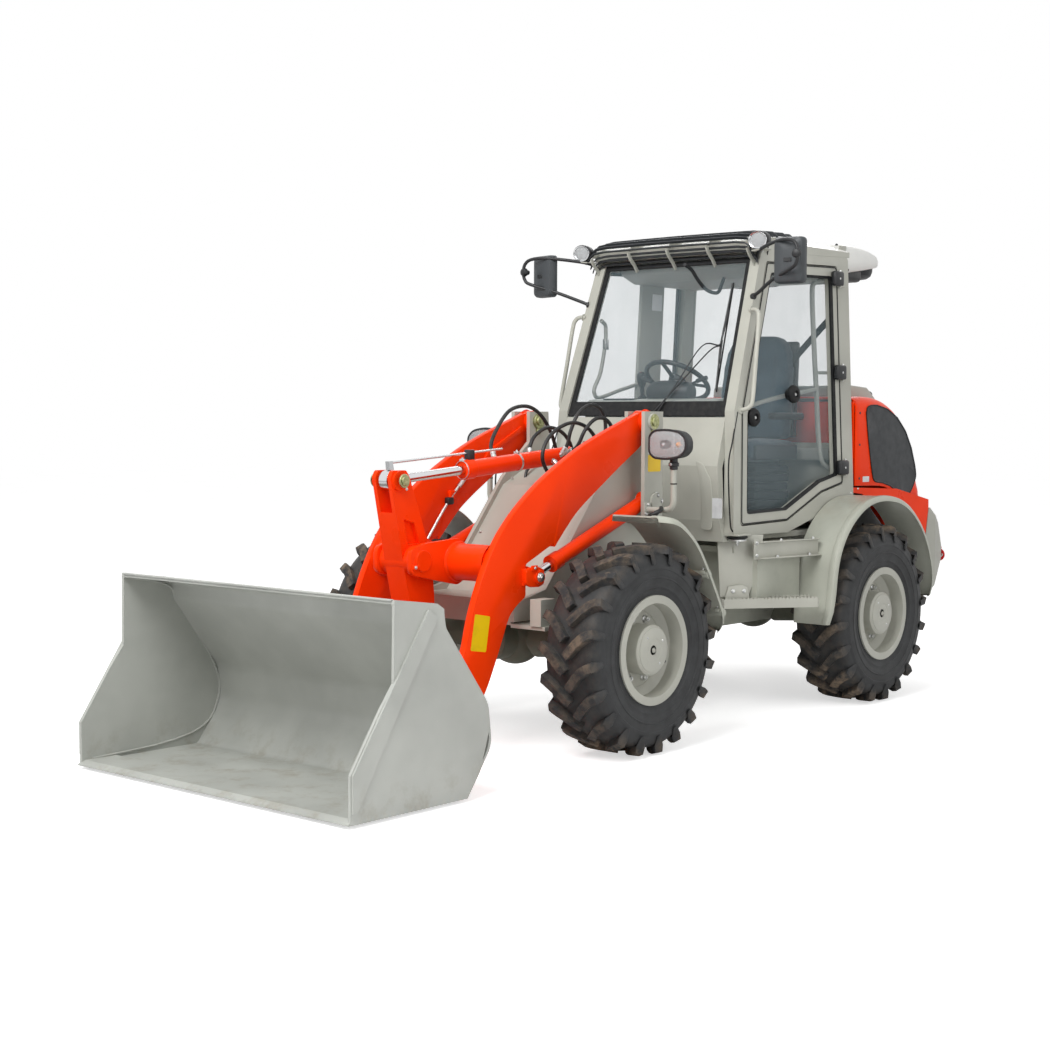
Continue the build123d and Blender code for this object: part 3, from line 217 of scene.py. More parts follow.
def bucket_enamel():
    """Enamel on rolled plate: satin, with long scuffs from loading and a brown trace of soil
    that gathers on the floor."""
    made, tree, shader, place = begin(
        "Grey enamel on bucket plate", Coat_Weight=0.1, Coat_Roughness=0.3)
    base = layer(tree, rgba("bucket_grey", 0.88), rgba("bucket_grey", 1.05),
                 patches(tree, place, 380, 0.35, 0.65))
    long = add(tree, "ShaderNodeMapping", {0: place, 3: (1.0, 0.12, 1.0)}).outputs[0]
    scuff = patches(tree, long, 9, 0.62, 0.74, detail=6.0, rough=0.7)
    base = layer(tree, base, rgba("bucket_grey", 1.35), scuff, 0.25)
    low = add(tree, "ShaderNodeSeparateXYZ", {0: place}).outputs[2]
    low = add(tree, "ShaderNodeMapRange", {0: low, 1: 0.20, 2: 0.03}).outputs[0]
    base = layer(tree, base, rgba("#7E7058"), low,
                 patches(tree, place, 120, 0.5, 0.75, detail=6.0, rough=0.7), 0.55)
    rub = add(tree, "ShaderNodeMapRange", {0: scuff, 3: 0.42, 4: 0.3}).outputs[0]
    feed(tree, shader, base, rub)
    relief(tree, shader, patches(tree, place, 14), 0.25, 0.4, 2.0)
    return made


def tyre_rubber():
    """Carbon-black rubber, moulded: charcoal with a faint sheen on the sidewall, and brown dust
    on the lugs' faces and a little up the shoulder."""
    made, tree, shader, place = begin("Moulded tyre rubber", Specular_IOR_Level=0.35)
    base = layer(tree, rgba("rubber", 0.75), rgba("rubber", 1.25),
                 patches(tree, place, 70, 0.35, 0.7, detail=5.0))
    held = add(tree, "ShaderNodeAttribute", attribute_name="tread").outputs["Fac"]
    base = layer(tree, base, rgba("dust", 0.8), held,
                 patches(tree, place, 52, 0.4, 0.62, detail=6.0, rough=0.68),
                 patches(tree, place, 420, 0.42, 0.6, 0.3, 0.95))
    dull = add(tree, "ShaderNodeMapRange", {0: held, 3: 0.52, 4: 0.85}).outputs[0]
    feed(tree, shader, base, dull)
    relief(tree, shader, patches(tree, place, 3.0, detail=4.0, rough=0.7), 0.5, 0.5, 2.5)
    return made


def worn_steel():
    """Bare steel on a cutting edge: scoured bright along the digging direction, brown between."""
    made, tree, shader, place = begin("Scoured steel edge", Metallic=0.85)
    long = add(tree, "ShaderNodeMapping", {0: place, 3: (0.12, 1.0, 1.0)}).outputs[0]
    line = patches(tree, long, 6, 0.4, 0.65, detail=6.0, rough=0.7)
    rub = add(tree, "ShaderNodeMapRange", {0: line, 3: 0.6, 4: 0.35}).outputs[0]
    feed(tree, shader, layer(tree, rgba("#6F6A62"), rgba("#A9A9A6"), line), rub)
    relief(tree, shader, patches(tree, long, 5, detail=4.0), 0.1, 0.5, 1.0)
    return made


def hard_chrome():
    """Hard chrome ground and polished: a bright cylinder with a thin film of oil."""
    made, tree, shader, place = begin("Hard chrome plate", Metallic=1.0, Base_Color=rgba("#DCDDDE"))
    film = patches(tree, place, 60, 0.3, 0.7, 0.08, 0.2, 4.0)
    tree.links.new(film, shader.inputs["Roughness"])
    relief(tree, shader, patches(tree, place, 1.5, detail=2.0), 0.01, 0.3, 1.0)
    return made


def speckled(name, first, second, tone, gloss, grain, **constants):
    """A material that varies from patch to patch. The tone is the patches' millimetres, two levels
    of the noise and its detail; the gloss is millimetres and two roughnesses; the grain is
    millimetres, detail, depth, strength and how far the edges are rounded."""
    made, tree, shader, place = begin(name, **constants)
    wide, low, high, detail = tone
    base = layer(
        tree, rgba(first), rgba(second), patches(tree, place, wide, low, high, detail=detail))
    wide, least, most = gloss
    feed(tree, shader, base, patches(tree, place, wide, 0.3, 0.7, least, most))
    wide, detail, depth, strength, rounding = grain
    relief(tree, shader, patches(tree, place, wide, detail=detail), depth, strength, rounding)
    return made


def blank_film(name, code):
    """Vinyl film, left blank: an even colour with a satin face and a lifted edge."""
    made, tree, shader, place = begin(name, Coat_Weight=0.3, Coat_Roughness=0.25)
    base = layer(
        tree, rgba(code), rgba(code, 0.84), patches(tree, place, 60, 0.45, 0.75, detail=5.0))
    feed(tree, shader, base, patches(tree, place, 30, 0.3, 0.7, 0.3, 0.42))
    relief(tree, shader, patches(tree, place, 3, detail=2.0), 0.03, 0.4, 0.6)
    return made


def moulded_plastic(name, code, rough=0.45, grain=1.0):
    """Moulded ABS or nylon: an even colour under a fine spark-eroded grain."""
    made, tree, shader, place = begin(name, Specular_IOR_Level=0.5)
    base = layer(
        tree, rgba(code, 0.98), rgba(code, 1.02), patches(tree, place, 90, 0.35, 0.65, detail=4.0))
    feed(tree, shader, base, patches(tree, place, 45, 0.3, 0.7, rough - 0.06, rough + 0.08))
    cell = add(tree, "ShaderNodeTexVoronoi", {"Vector": place, "Scale": 1000 / 1.6})
    relief(tree, shader, cell.outputs["Distance"], 0.08, 0.35 * grain, 2.0)
    return made


def cab_glass():
    """Toughened safety glass with a faint grey-green body: clear straight on, and a painted
    pale reflection, its pale base colour made more opaque, that grows towards the edges."""
    made, tree, shader, place = begin(
        "Toughened tinted glass", Roughness=0.02, IOR=1.5, Base_Color=rgba("#9DB0B6"),
        Specular_IOR_Level=0.5)
    # opacity grows at grazing angles, so the pale base colour shows there as a painted reflection
    edge = add(tree, "ShaderNodeLayerWeight", {"Blend": 0.5}).outputs["Facing"]
    steep = add(tree, "ShaderNodeMath", {0: edge, 1: 4.0}, operation="POWER").outputs[0]
    steep = add(tree, "ShaderNodeMapRange", {0: steep, 3: 0.08, 4: 0.9}).outputs[0]
    film = patches(tree, place, 300, 0.3, 0.7, 0.0, 0.04, 4.0)
    see = add(tree, "ShaderNodeMath", {0: steep, 1: film}, operation="ADD").outputs[0]
    tree.links.new(see, shader.inputs["Alpha"])
    return made


def clear_lens():
    """Clear polycarbonate lens with moulded flutes."""
    made, tree, shader, place = begin(
        "Clear fluted polycarbonate", Roughness=0.05, IOR=1.58, Base_Color=rgba("#F2F5F6"),
        Alpha=0.14)
    flute = add(tree, "ShaderNodeTexWave", {
        "Vector": place, "Scale": 1000 / 9 / tau, "Distortion": 0.4},
        bands_direction="Y").outputs[1]
    relief(tree, shader, flute, 0.6, 0.6)
    return made


def tinted_lens(name, code):
    """Coloured polycarbonate lens with prisms moulded inside, each drawn bright in its middle
    and dark at its rim as a painted glint.
    """
    made, tree, shader, place = begin(
        name, Roughness=0.12, IOR=1.58, Coat_Weight=0.6, Coat_Roughness=0.05)
    prism = add(tree, "ShaderNodeTexVoronoi", {"Vector": place, "Scale": 1000 / 6.0})
    prism = prism.outputs["Distance"]
    # painted glints: bright in each prism's middle, dark towards its rim
    share = add(tree, "ShaderNodeMapRange", {0: prism, 1: 0.1, 2: 0.7}).outputs[0]
    base = layer(tree, rgba(code, 1.25), rgba(code, 0.55), share)
    tree.links.new(base, shader.inputs["Base Color"])
    relief(tree, shader, prism, 0.5, 0.5)
    return made


def mirror_glass():
    """Silvered glass: a cool, nearly perfect reflection with a little dust."""
    made, tree, shader, place = begin(
        "Silvered mirror glass", Metallic=1.0, Base_Color=rgba("#C8CED2"))
    dust = patches(tree, place, 35, 0.4, 0.8, 0.02, 0.12, 5.0)
    tree.links.new(dust, shader.inputs["Roughness"])
    return made


def bright_reflector():
    """Aluminised lamp reflector: a bright mirror broken into facets."""
    made, tree, shader, place = begin(
        "Aluminised reflector", Metallic=1.0, Base_Color=rgba("#DADCDD"))
    facet = add(tree, "ShaderNodeTexVoronoi", {"Vector": place, "Scale": 1000 / 14})
    facet = facet.outputs["Distance"]
    haze = add(tree, "ShaderNodeMapRange", {0: facet, 2: 0.7, 3: 0.12, 4: 0.3}).outputs[0]
    tree.links.new(haze, shader.inputs["Roughness"])
    relief(tree, shader, facet, 1.5, 0.6)
    return made


def seat_fabric():
    """Woven polyester: a dark blue-grey weave of 2.4 mm threads with a soft sheen. The
    threads are drawn coarser than the real 0.6 mm ones, so that they show."""
    made, tree, shader, place = begin(
        "Woven polyester seat cloth", Sheen_Weight=0.35, Sheen_Roughness=0.5,
        Specular_IOR_Level=0.3)
    warp, weft = (
        add(tree, "ShaderNodeTexWave", {
            "Vector": place, "Scale": 1000 / 2.4 / tau, "Distortion": 0.5},
            bands_direction=way).outputs[1]
        for way in "ZY")
    cross = add(tree, "ShaderNodeMath", {0: warp, 1: weft}, operation="MAXIMUM").outputs[0]
    worn = patches(tree, place, 110, 0.35, 0.7, detail=4.0)
    dark = layer(tree, rgba("#33434F"), rgba("#4A5C69"), worn)
    share = add(tree, "ShaderNodeMapRange", {0: cross, 3: 0.25, 4: 1.0}).outputs[0]
    rub = add(tree, "ShaderNodeMapRange", {0: worn, 3: 0.75, 4: 0.88}).outputs[0]
    # the weave's lowest parts take the darkest blue: painted shade between the threads
    feed(tree, shader, layer(tree, rgba("#1D262D"), dark, share), rub)
    relief(tree, shader, cross, 0.4, 0.6)
    return made


FINISHES = {
    # key: the record's slot that it answers to, its maker; a slot's first key dresses its solids
    "orange": ("orange_paint", lambda: enamel(
        "Vermilion enamel on steel", "orange", 0.3, dust=0.02, edge_wear_and_highlight=0.3, shine=0.16, coat=0.02)),
    "grey": ("warm_grey_paint", lambda: enamel(
        "Warm grey enamel on steel", "warm_grey", 0.36, dust=0.14)),
    "olive": ("olive_grey_paint", lambda: enamel(
        "Olive grey enamel on castings", "olive_grey", 0.4, dust=0.55, peel=0.22)),
    # the olive grey darkened for the axles: a painted shade, as they sit in shadow under the
    # machine
    "casting": ("olive_grey_paint", lambda: enamel(
        "Dark olive enamel on cast iron", "#6E7062", 0.45, dust=0.6, peel=0.5)),
    "red": ("red_paint", lambda: enamel("Red enamel on forged steel", "#C81414", 0.3, dust=0.1)),
    # dark, coarse from the sand mould and dusty on top
    "iron": ("engine_iron", lambda: enamel(
        "Painted cast iron", "#4A4B4A", 0.55, dust=0.8, edge_wear_and_highlight=0.3, peel=0.6)),
    "bucket": ("bucket_grey_paint", bucket_enamel),
    "rubber": ("tyre_rubber", tyre_rubber),
    "chrome": ("chrome_rod", hard_chrome),
    # dull silver with a faint yellow cast and tiny crystals
    "zinc": ("chrome_rod", lambda: speckled(
        "Zinc-plated steel", "#B9BBBD", "#E6E6E2", (12, 0.35, 0.65, 4.0), (8, 0.28, 0.45),
        (1.2, 2.0, 0.03, 0.5, 0.8), Metallic=1.0)),
    # zinc under yellow chromate: a dull greenish gold that varies from patch to patch
    "yellow_zinc": ("chrome_rod", lambda: speckled(
        "Yellow-passivated zinc", "#8F9468", "#C2C295", (15, 0.35, 0.65, 4.0), (9, 0.3, 0.45),
        (1.2, 2.0, 0.03, 0.5, 0.8), Metallic=1.0)),
    "worn": ("chrome_rod", worn_steel),
    "black": ("black_plastic", lambda: moulded_plastic("Black moulded nylon", "#1E1F21")),
    "dark": ("black_plastic", lambda: moulded_plastic("Dark grey moulded ABS", "#3C4043", 0.5)),
    "wire": ("black_plastic", lambda: moulded_plastic(
        "Black powder-coated wire", "#26292C", 0.5, 0.6)),
    "white": ("white_plastic", lambda: moulded_plastic("White moulded ABS", "#E6E6E2", 0.35, 0.5)),
    "light": ("warm_grey_paint", lambda: moulded_plastic("Light grey moulded ABS", "#A5A69F", 0.5)),
    # braided hose under a smooth black cover, faintly dusty
    "hose": ("hose_rubber", lambda: speckled(
        "Hydraulic hose cover", "#161719", "#2E2D2B", (40, 0.4, 0.7, 5.0), (25, 0.38, 0.58),
        (2.0, 3.0, 0.1, 0.5, 0.0), Specular_IOR_Level=0.5)),
    # extruded EPDM, deep black and matt
    "seal": ("hose_rubber", lambda: speckled(
        "Extruded seal rubber", "#101113", "#222221", (30, 0.4, 0.7, 5.0), (18, 0.5, 0.7),
        (1.5, 2.0, 0.05, 0.5, 0.0), Specular_IOR_Level=0.3)),
    "fabric": ("seat_fabric", seat_fabric),
    "glass": ("cab_glass", cab_glass),
    "lens": ("cab_glass", clear_lens),
    "amber": ("orange_paint", lambda: tinted_lens("Amber polycarbonate lens", "#E08A2A")),
    "red_lens": ("red_paint", lambda: tinted_lens("Red polycarbonate lens", "#B01612")),
    "mirror": ("chrome_rod", mirror_glass),
    "reflector": ("chrome_rod", bright_reflector),
    "yellow_film": ("orange_paint", lambda: blank_film("Yellow vinyl film", "#F2C800")),
    "white_film": ("white_plastic", lambda: blank_film("White vinyl film", "#E4E6E8")),
}
made_finishes = {}


def finish(key):
    """The material of that short name, made the first time it is asked for."""
    if key not in made_finishes:
        made_finishes[key] = FINISHES[key][1]()
    return made_finishes[key]


# ------------------------------------------------------------------ forms
def ring(centre, turn, radius, sides, along=0.0, stretch=(1, 1)):
    """A round section's points in metres; the radius and the way along are in millimetres."""
    wide, high = radius * MM * stretch[0], radius * MM * stretch[1]
    return [
        centre + turn @ Vector((cos(tau * i / sides) * wide, sin(tau * i / sides) * high,
                                along * MM))
        for i in range(sides)]


def frame_along(direction):
    """The turn that sets an upright shape along a direction."""
    return Vector(direction).normalized().to_track_quat("Z", "Y").to_matrix()


def arc(start, corner, end, steps):
    """Points along a curve from start to end that is drawn towards a corner."""
    return [start * (1 - t) ** 2 + corner * 2 * t * (1 - t) + end * t * t
            for t in (step / steps for step in range(steps + 1))]


def rounded(outline, radius, steps=5, ease=False):
    """A flat outline with its corners turned into arcs; eased, gentle turns run on as curves."""
    bent = []
    for index, here in enumerate(outline):
        here = Vector(here)
        back = Vector(outline[index - 1]) - here
        ahead = Vector(outline[(index + 1) % len(outline)]) - here
        corner = back.angle(ahead)
        if ease:
            cut = min(radius if corner < radians(125) else back.length, 0.46 * back.length,
                      0.46 * ahead.length)
        else:
            cut = min(radius / max(0.2, tan(corner / 2)), 0.45 * back.length, 0.45 * ahead.length)
        start, end = here + back.normalized() * cut, here + ahead.normalized() * cut
        bent += [tuple(point) for point in arc(start, here, end, steps)]
    return bent


def corner_cut(points, steps=6):
    """A smooth open curve that keeps inside the corners of a run of points."""
    points = [Vector(point) for point in points]
    stops = [points[0]] + [(a + b) / 2 for a, b in zip(points[1:], points[2:-1])] + [points[-1]]
    path = [points[0]]
    for start, corner, end in zip(stops, points[1:], stops[1:]):
        path += arc(start, corner, end, steps)[1:]
    return path


def curve_through(points, steps=6):
    """Points along a smooth curve through the given ones."""
    ends = [points[0] * 2 - points[1]] + list(points) + [points[-1] * 2 - points[-2]]
    path = []
    for p0, p1, p2, p3 in zip(ends, ends[1:], ends[2:], ends[3:]):
        for step in range(steps):
            t = step / steps
            path.append(0.5 * ((2 * p1) + (p2 - p0) * t + (2 * p0 - 5 * p1 + 4 * p2 - p3) * t * t
                               + (3 * p1 - p0 - 3 * p2 + p3) * t ** 3))
    return path + [points[-1].copy()]


def mirrored(side, *points):
    """Points on the left-hand side of the machine, or the same ones on its right."""
    return [(x, side * y, z) for x, y, z in points]


def skin(mesh, rows, close=False, wrap=True):
    """Faces between rows of vertices; closed, the last row joins the first."""
    faces = []
    for first, second in zip(rows, rows[1:] + rows[:1] if close else rows[1:]):
        for here in range(len(first) if wrap else len(first) - 1):
            after = (here + 1) % len(first)
            faces.append(mesh.faces.new((first[here], first[after], second[after], second[here])))
    return faces


class Form:
    """Gathers the shapes of one piece; points are in millimetres from the front axle."""

    def __init__(self):
        self.mesh = bmesh.new()
        self.keys = []

    def solid(self, rings, key, close=False, caps=True):
        """Skins a list of rings of points; the points are in the row frame."""
        rows = [[self.mesh.verts.new(point) for point in ring] for ring in rings]
        faces = skin(self.mesh, rows, close)
        if caps and not close:
            faces.append(self.mesh.faces.new(rows[0][::-1]))
            faces.append(self.mesh.faces.new(rows[-1]))
        bmesh.ops.recalc_face_normals(self.mesh, faces=faces)
        if key not in self.keys:
            self.keys.append(key)
        for face in faces:
            face.material_index = self.keys.index(key)
            face.smooth = True
        return faces

    def soften(self, faces, width, segments=2, angle=30):
        """Bevels the sharp edges of some faces."""
        edges = {edge for face in faces if face.is_valid for edge in face.edges}
        sharp = [edge for edge in edges if len(edge.link_faces) == 2
                 and edge.calc_face_angle(0) > radians(angle)]
        if not sharp or not width:
            return
        number = faces[0].material_index
        made = bmesh.ops.bevel(
            self.mesh, geom=sharp, offset=width * MM, segments=segments, profile=0.5,
            affect="EDGES", clamp_overlap=True)
        for face in made["faces"]:
            face.material_index = number
            face.smooth = True

    def box(self, low, high, key, bevel=2.0, segments=2):
        """A block with rounded edges between two corners."""
        (x0, x1), (y0, y1), (z0, z1) = (sorted(ends) for ends in zip(low, high))
        rings = [[at(x0, y0, z), at(x1, y0, z), at(x1, y1, z), at(x0, y1, z)] for z in (z0, z1)]
        self.soften(
            self.solid(rings, key), min(bevel, 0.45 * min(x1 - x0, y1 - y0, z1 - z0)), segments)

    def prism(self, outline, direction, key, bevel=1.5, segments=2):
        """A flat outline of points pushed along a direction, both in millimetres."""
        start = [at(*point) for point in outline]
        push = Vector(direction) * MM
        self.soften(self.solid([start, [point + push for point in start]], key), bevel, segments)

    def plate(self, outline, y, thick, key, bevel=1.5, segments=2):
        """An upright plate: its outline in x and z, where it starts and how thick it is."""
        self.prism([(x, y, z) for x, z in outline], (0, thick, 0), key, bevel, segments)

    def lathe(self, start, direction, profile, key, sides=32, caps=True, stretch=(1, 1)):
        """A turned shape: the profile is (along, radius) pairs from the start point."""
        turn = frame_along(direction)
        return self.solid([ring(at(*start), turn, max(radius, 0.01), sides, along, stretch)
                           for along, radius in profile], key, caps=caps)

    def rod(self, start, end, radius, key, sides=20, bevel=0.8):
        """A round bar between two points."""
        turn = frame_along(Vector(end) - Vector(start))
        self.soften(
            self.solid([ring(at(*spot), turn, radius, sides) for spot in (start, end)], key), bevel,
            1, 50)

    def tube(self, points, radius, key, sides=12, steps=6, flat=1.0):
        """A bent tube on a smooth curve through the points."""
        path = curve_through([at(*point) for point in points], steps)
        rings = []
        side = None
        for number, here in enumerate(path):
            ahead = (path[min(number + 1, len(path) - 1)] - path[max(number - 1, 0)]).normalized()
            side = side or ahead.orthogonal().normalized()
            side = (side - ahead * side.dot(ahead)).normalized()
            other = ahead.cross(side)
            rings.append([here + (side * cos(tau * i / sides) + other * sin(tau * i / sides) * flat)
                          * radius * MM for i in range(sides)])
        self.solid(rings, key)

    def nut(self, centre, direction, size, height, key="zinc"):
        """A hexagon head with a washer and a stub of thread."""
        washer = ((0, 1.05), (1.2, 1.05))
        head = ((1.2, 0.9), (height * 0.85, 0.9), (height, 0.76))
        thread = ((height, 0.45), (height * 1.3, 0.4))
        for profile, sides in ((washer, 16), (head, 6), (thread, 10)):
            profile = [(along, share * size) for along, share in profile]
            self.lathe(centre, direction, profile, key, sides)

    def data(self, name):
        """The gathered shapes as a mesh."""
        made = bpy.data.meshes.new(name)
        self.mesh.normal_update()
        self.mesh.to_mesh(made)
        self.mesh.free()
        for key in self.keys:
            made.materials.append(finish(key))
        return made

    def piece(self, name, body, replaces=(), sharp=32):
        """Makes the object of what was gathered, sets it on its body and returns it."""
        return place_mesh(name, self.data(name), Matrix(), body, replaces, sharp)


def seat(made, body, replaces=()):
    """Rides a finished piece on its body and hides the solids it replaces."""
    if body:
        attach(made, body)
    if replaces:
        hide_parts(*replaces)


def place_mesh(name, data, matrix, body, replaces=(), sharp=32):
    """An object whose mesh is put in place by a matrix, riding on its body."""
    data.transform(matrix)
    made = bpy.data.objects.new(name, data)
    bpy.context.scene.collection.objects.link(made)
    data.set_sharp_from_angle(angle=radians(sharp))
    seat(made, body, replaces)
    return made


# ------------------------------------------------------------------ repeats
def turned_tree():
    """A node tree that copies a part about the axle's direction, made once."""
    tree = bpy.data.node_groups.get("Turned about the axle")
    if tree:
        return tree
    tree = bpy.data.node_groups.new("Turned about the axle", "GeometryNodeTree")
    for label, kind in (("Part", "Object"), ("Count", "Int"), ("Step", "Float"), ("Start", "Float"),
                        ("Finish", "Material")):
        tree.interface.new_socket(label, in_out="INPUT", socket_type="NodeSocket" + kind)
    tree.interface.new_socket("Geometry", in_out="OUTPUT", socket_type="NodeSocketGeometry")
    given = add(tree, "NodeGroupInput").outputs
    part = add(
        tree, "GeometryNodeObjectInfo", {"Object": given["Part"]}, transform_space="RELATIVE")
    points = add(tree, "GeometryNodePoints", {"Count": given["Count"]})
    number = add(tree, "GeometryNodeInputIndex").outputs[0]
    turn = add(tree, "ShaderNodeMath", {0: number, 1: given["Step"], 2: given["Start"]},
               operation="MULTIPLY_ADD").outputs[0]
    about = add(tree, "ShaderNodeCombineXYZ", {1: turn}).outputs[0]
    copies = add(tree, "GeometryNodeInstanceOnPoints", {
        "Points": points.outputs[0], "Instance": part.outputs["Geometry"], "Rotation": about})
    real = add(tree, "GeometryNodeRealizeInstances", {0: copies.outputs[0]})
    dressed = add(
        tree, "GeometryNodeSetMaterial", {0: real.outputs[0], "Material": given["Finish"]})
    add(tree, "NodeGroupOutput", {0: dressed.outputs[0]})
    return tree


def repeated(name, part, values):
    """Copies a part's mesh about the axle's direction and gives back the plain mesh."""
    tree = turned_tree()
    holder = bpy.data.objects.new(name + "_part", part)
    carrier = bpy.data.objects.new(name + "_carrier", bpy.data.meshes.new(name + "_carrier"))
    for thing in (holder, carrier):
        bpy.context.scene.collection.objects.link(thing)
    modifier = carrier.modifiers.new("Repeat", "NODES")
    modifier.node_group = tree
    ids = {
        item.name: item.identifier for item in tree.interface.items_tree if item.in_out == "INPUT"}
    modifier[ids["Part"]] = holder
    for label, value in values.items():
        modifier[ids[label]] = value
    bpy.context.view_layer.update()
    graph = bpy.context.evaluated_depsgraph_get()
    mesh = bpy.data.meshes.new_from_object(carrier.evaluated_get(graph))
    bpy.data.objects.remove(carrier)
    bpy.data.objects.remove(holder)
    return mesh


WHEELS = (("front_left", 1), ("front_right", -1), ("rear_left", 1), ("rear_right", -1))


def wheel_centre(place):
    """The middle of a wheel, taken across from its tyre."""
    rim, tyre = (Vector(low) + Vector(high) for low, high in (
        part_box("rim_" + place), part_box("tyre_" + place)))
    return Vector((rim.x, tyre.y, rim.z)) / 2


# ------------------------------------------------------------------ operators
class LOADER_OT_paintwork(bpy.types.Operator):
    """Gives every solid its finish, and the axles a darker olive as painted shade"""
    bl_idname = "loader.paintwork"
    bl_label = "Paintwork"

    def execute(self, context):
        first = {}
        for key, (slot, _) in FINISHES.items():
            first.setdefault(slot, key)
        for item in frame["record"]["subparts"]:
            # the axles take the darker olive copy, a painted shade
            key = "casting" if item["node"].endswith("axle") else first[item["material_slot"]]
            for slot in frame["nodes"][item["node"]].material_slots:
                slot.material = finish(key)
        return {"FINISHED"}


class LOADER_OT_stage(bpy.types.Operator):
    """Adds the pale floor, the soft lights and the camera"""
    bl_idname = "loader.stage"
    bl_label = "Stage"

    def execute(self, context):
        scene = context.scene
        # floor: pale matt studio board, white to the camera, that keeps the shadow
        made = bpy.data.materials.new("White studio board")
        made.use_nodes = True
        tree = made.node_tree
        tree.nodes.clear()
        place = add(tree, "ShaderNodeTexCoord").outputs["Object"]
        tone = layer(tree, rgba("#E9E9E9"), rgba("#EFEFEF"), patches(tree, place, 900, 0.3, 0.7))
        board = add(tree, "ShaderNodeBsdfDiffuse", {"Color": tone})
        seen = add(tree, "ShaderNodeLightPath").outputs["Is Camera Ray"]
        lift = add(tree, "ShaderNodeMapRange", {0: seen, 4: 0.58})
        lift = add(tree, "ShaderNodeEmission", {"Color": (1, 1, 1, 1), "Strength": lift.outputs[0]})
        both = add(tree, "ShaderNodeAddShader", {0: board.outputs[0], 1: lift.outputs[0]})
        add(tree, "ShaderNodeOutputMaterial", {"Surface": both.outputs[0]})
        floor = bpy.data.meshes.new("floor")
        reach = 40.0
        floor.from_pydata(
            [(-reach, -reach, 0), (reach, -reach, 0), (reach, reach, 0), (-reach, reach, 0)], [],
            [(0, 1, 2, 3)])
        floor.materials.append(made)
        floor = bpy.data.objects.new("floor", floor)
        scene.collection.objects.link(floor)
        floor.location.z = -0.001
        # world: white to the camera and in reflections, a softer light on the object
        world = bpy.data.worlds.new("Studio sky")
        scene.world = world
        world.use_nodes = True
        tree = world.node_tree
        tree.nodes.clear()
        path = add(tree, "ShaderNodeLightPath").outputs
        shown = path["Is Camera Ray"]
        for kind in ("Is Glossy Ray", "Is Transmission Ray"):
            shown = add(tree, "ShaderNodeMath", {0: shown, 1: path[kind]},
                        operation="MAXIMUM").outputs[0]
        strength = add(tree, "ShaderNodeMapRange", {0: shown, 3: 0.5, 4: 1.0}).outputs[0]
        sky = add(tree, "ShaderNodeBackground", {"Color": (1, 1, 1, 1), "Strength": strength})
        add(tree, "ShaderNodeOutputWorld", {"Surface": sky.outputs[0]})
        # lights: one large soft key from the camera's left, a broad fill and a rim
        lamps = (
            # name, place, aim, size, watts
            ("key", (5.5, 1.0, 6.0), (0.0, 0.0, 0.8), 4.0, 440),
            ("fill", (1.0, 7.0, 3.5), (-0.4, 0.0, 1.0), 5.0, 100),
            ("rim", (-5.5, -3.0, 5.0), (-0.5, 0.0, 1.2), 3.0, 120),
        )
        for name, where, aim, size, watts in lamps:
            data = bpy.data.lights.new(name, "AREA")
            data.size = size
            data.energy = watts
            lamp = bpy.data.objects.new(name, data)
            scene.collection.objects.link(lamp)
            lamp.location = where
            lamp.rotation_euler = (Vector(aim) - Vector(where)).to_track_quat("-Z", "Y").to_euler()
        # camera: low, from the front left corner
        data = bpy.data.cameras.new("camera")
        data.lens = 59.197
        data.sensor_width = 36.0
        camera = bpy.data.objects.new("camera", data)
        scene.collection.objects.link(camera)
        yaw, pitch, roll = radians(221.017), radians(-3.438), radians(0.2265)
        look = Vector((cos(pitch) * cos(yaw), cos(pitch) * sin(yaw), sin(pitch)))
        right = look.cross(Vector((0, 0, 1))).normalized()
        up = right.cross(look)
        right, up = right * cos(roll) + up * sin(roll), up * cos(roll) - right * sin(roll)
        turn = Matrix((right, up, -look)).transposed().to_4x4()
        camera.matrix_world = Matrix.Translation((6.3688 + AXLE_X, 5.5987, 1.5457)) @ turn
        scene.camera = camera
        scene.view_settings.view_transform = "Standard"
        return {"FINISHED"}


def lug_form():
    """One tread lug at the top of the wheel, about the wheel's own centre."""
    sizes = bpy.context.scene.loader_sizes
    face = 0.4925
    foot = face - sizes.lug_height - 0.012
    # along the tread, out from the middle plane: the lug's middle line and half widths
    line = ((-0.060, 0.149, 0.021), (-0.052, 0.122, 0.020), (-0.036, 0.096, 0.021),
            (-0.006, 0.062, 0.020), (0.026, 0.034, 0.020), (0.055, 0.006, 0.020))
    made = bmesh.new()
    rows = []
    for index, (along, out, half) in enumerate(line):
        before = line[max(index - 1, 0)]
        after = line[min(index + 1, len(line) - 1)]
        run = Vector((after[0] - before[0], after[1] - before[1])).normalized()
        side = Vector((-run.y, run.x))
        row = []
        drop = 0.012 if index == 0 else (0.002 if index == 1 else 0.0)
        for reach, radius in ((-1.28, foot), (-1.0, face - drop), (1.0, face - drop), (1.28, foot)):
            a = along + side.x * half * reach
            o = out + side.y * half * reach
            turn = a / face
            row.append(made.verts.new((sin(turn) * radius, o, cos(turn) * radius)))
        rows.append(row)
    # the lug's wedge down the sidewall
    wedge = []
    for reach, radius, out in (
            (-0.9, 0.405, 0.156), (-0.35, 0.40, 0.1615), (0.35, 0.40, 0.1615), (0.9, 0.405, 0.156)):
        turn = (-0.062 + reach * 0.021) / face
        wedge.append(made.verts.new((sin(turn) * radius, out, cos(turn) * radius)))
    rows.insert(0, wedge)
    skin(made, rows)
    made.faces.new(rows[0][::-1])
    made.faces.new(rows[-1])
    bmesh.ops.recalc_face_normals(made, faces=made.faces[:])
    return made


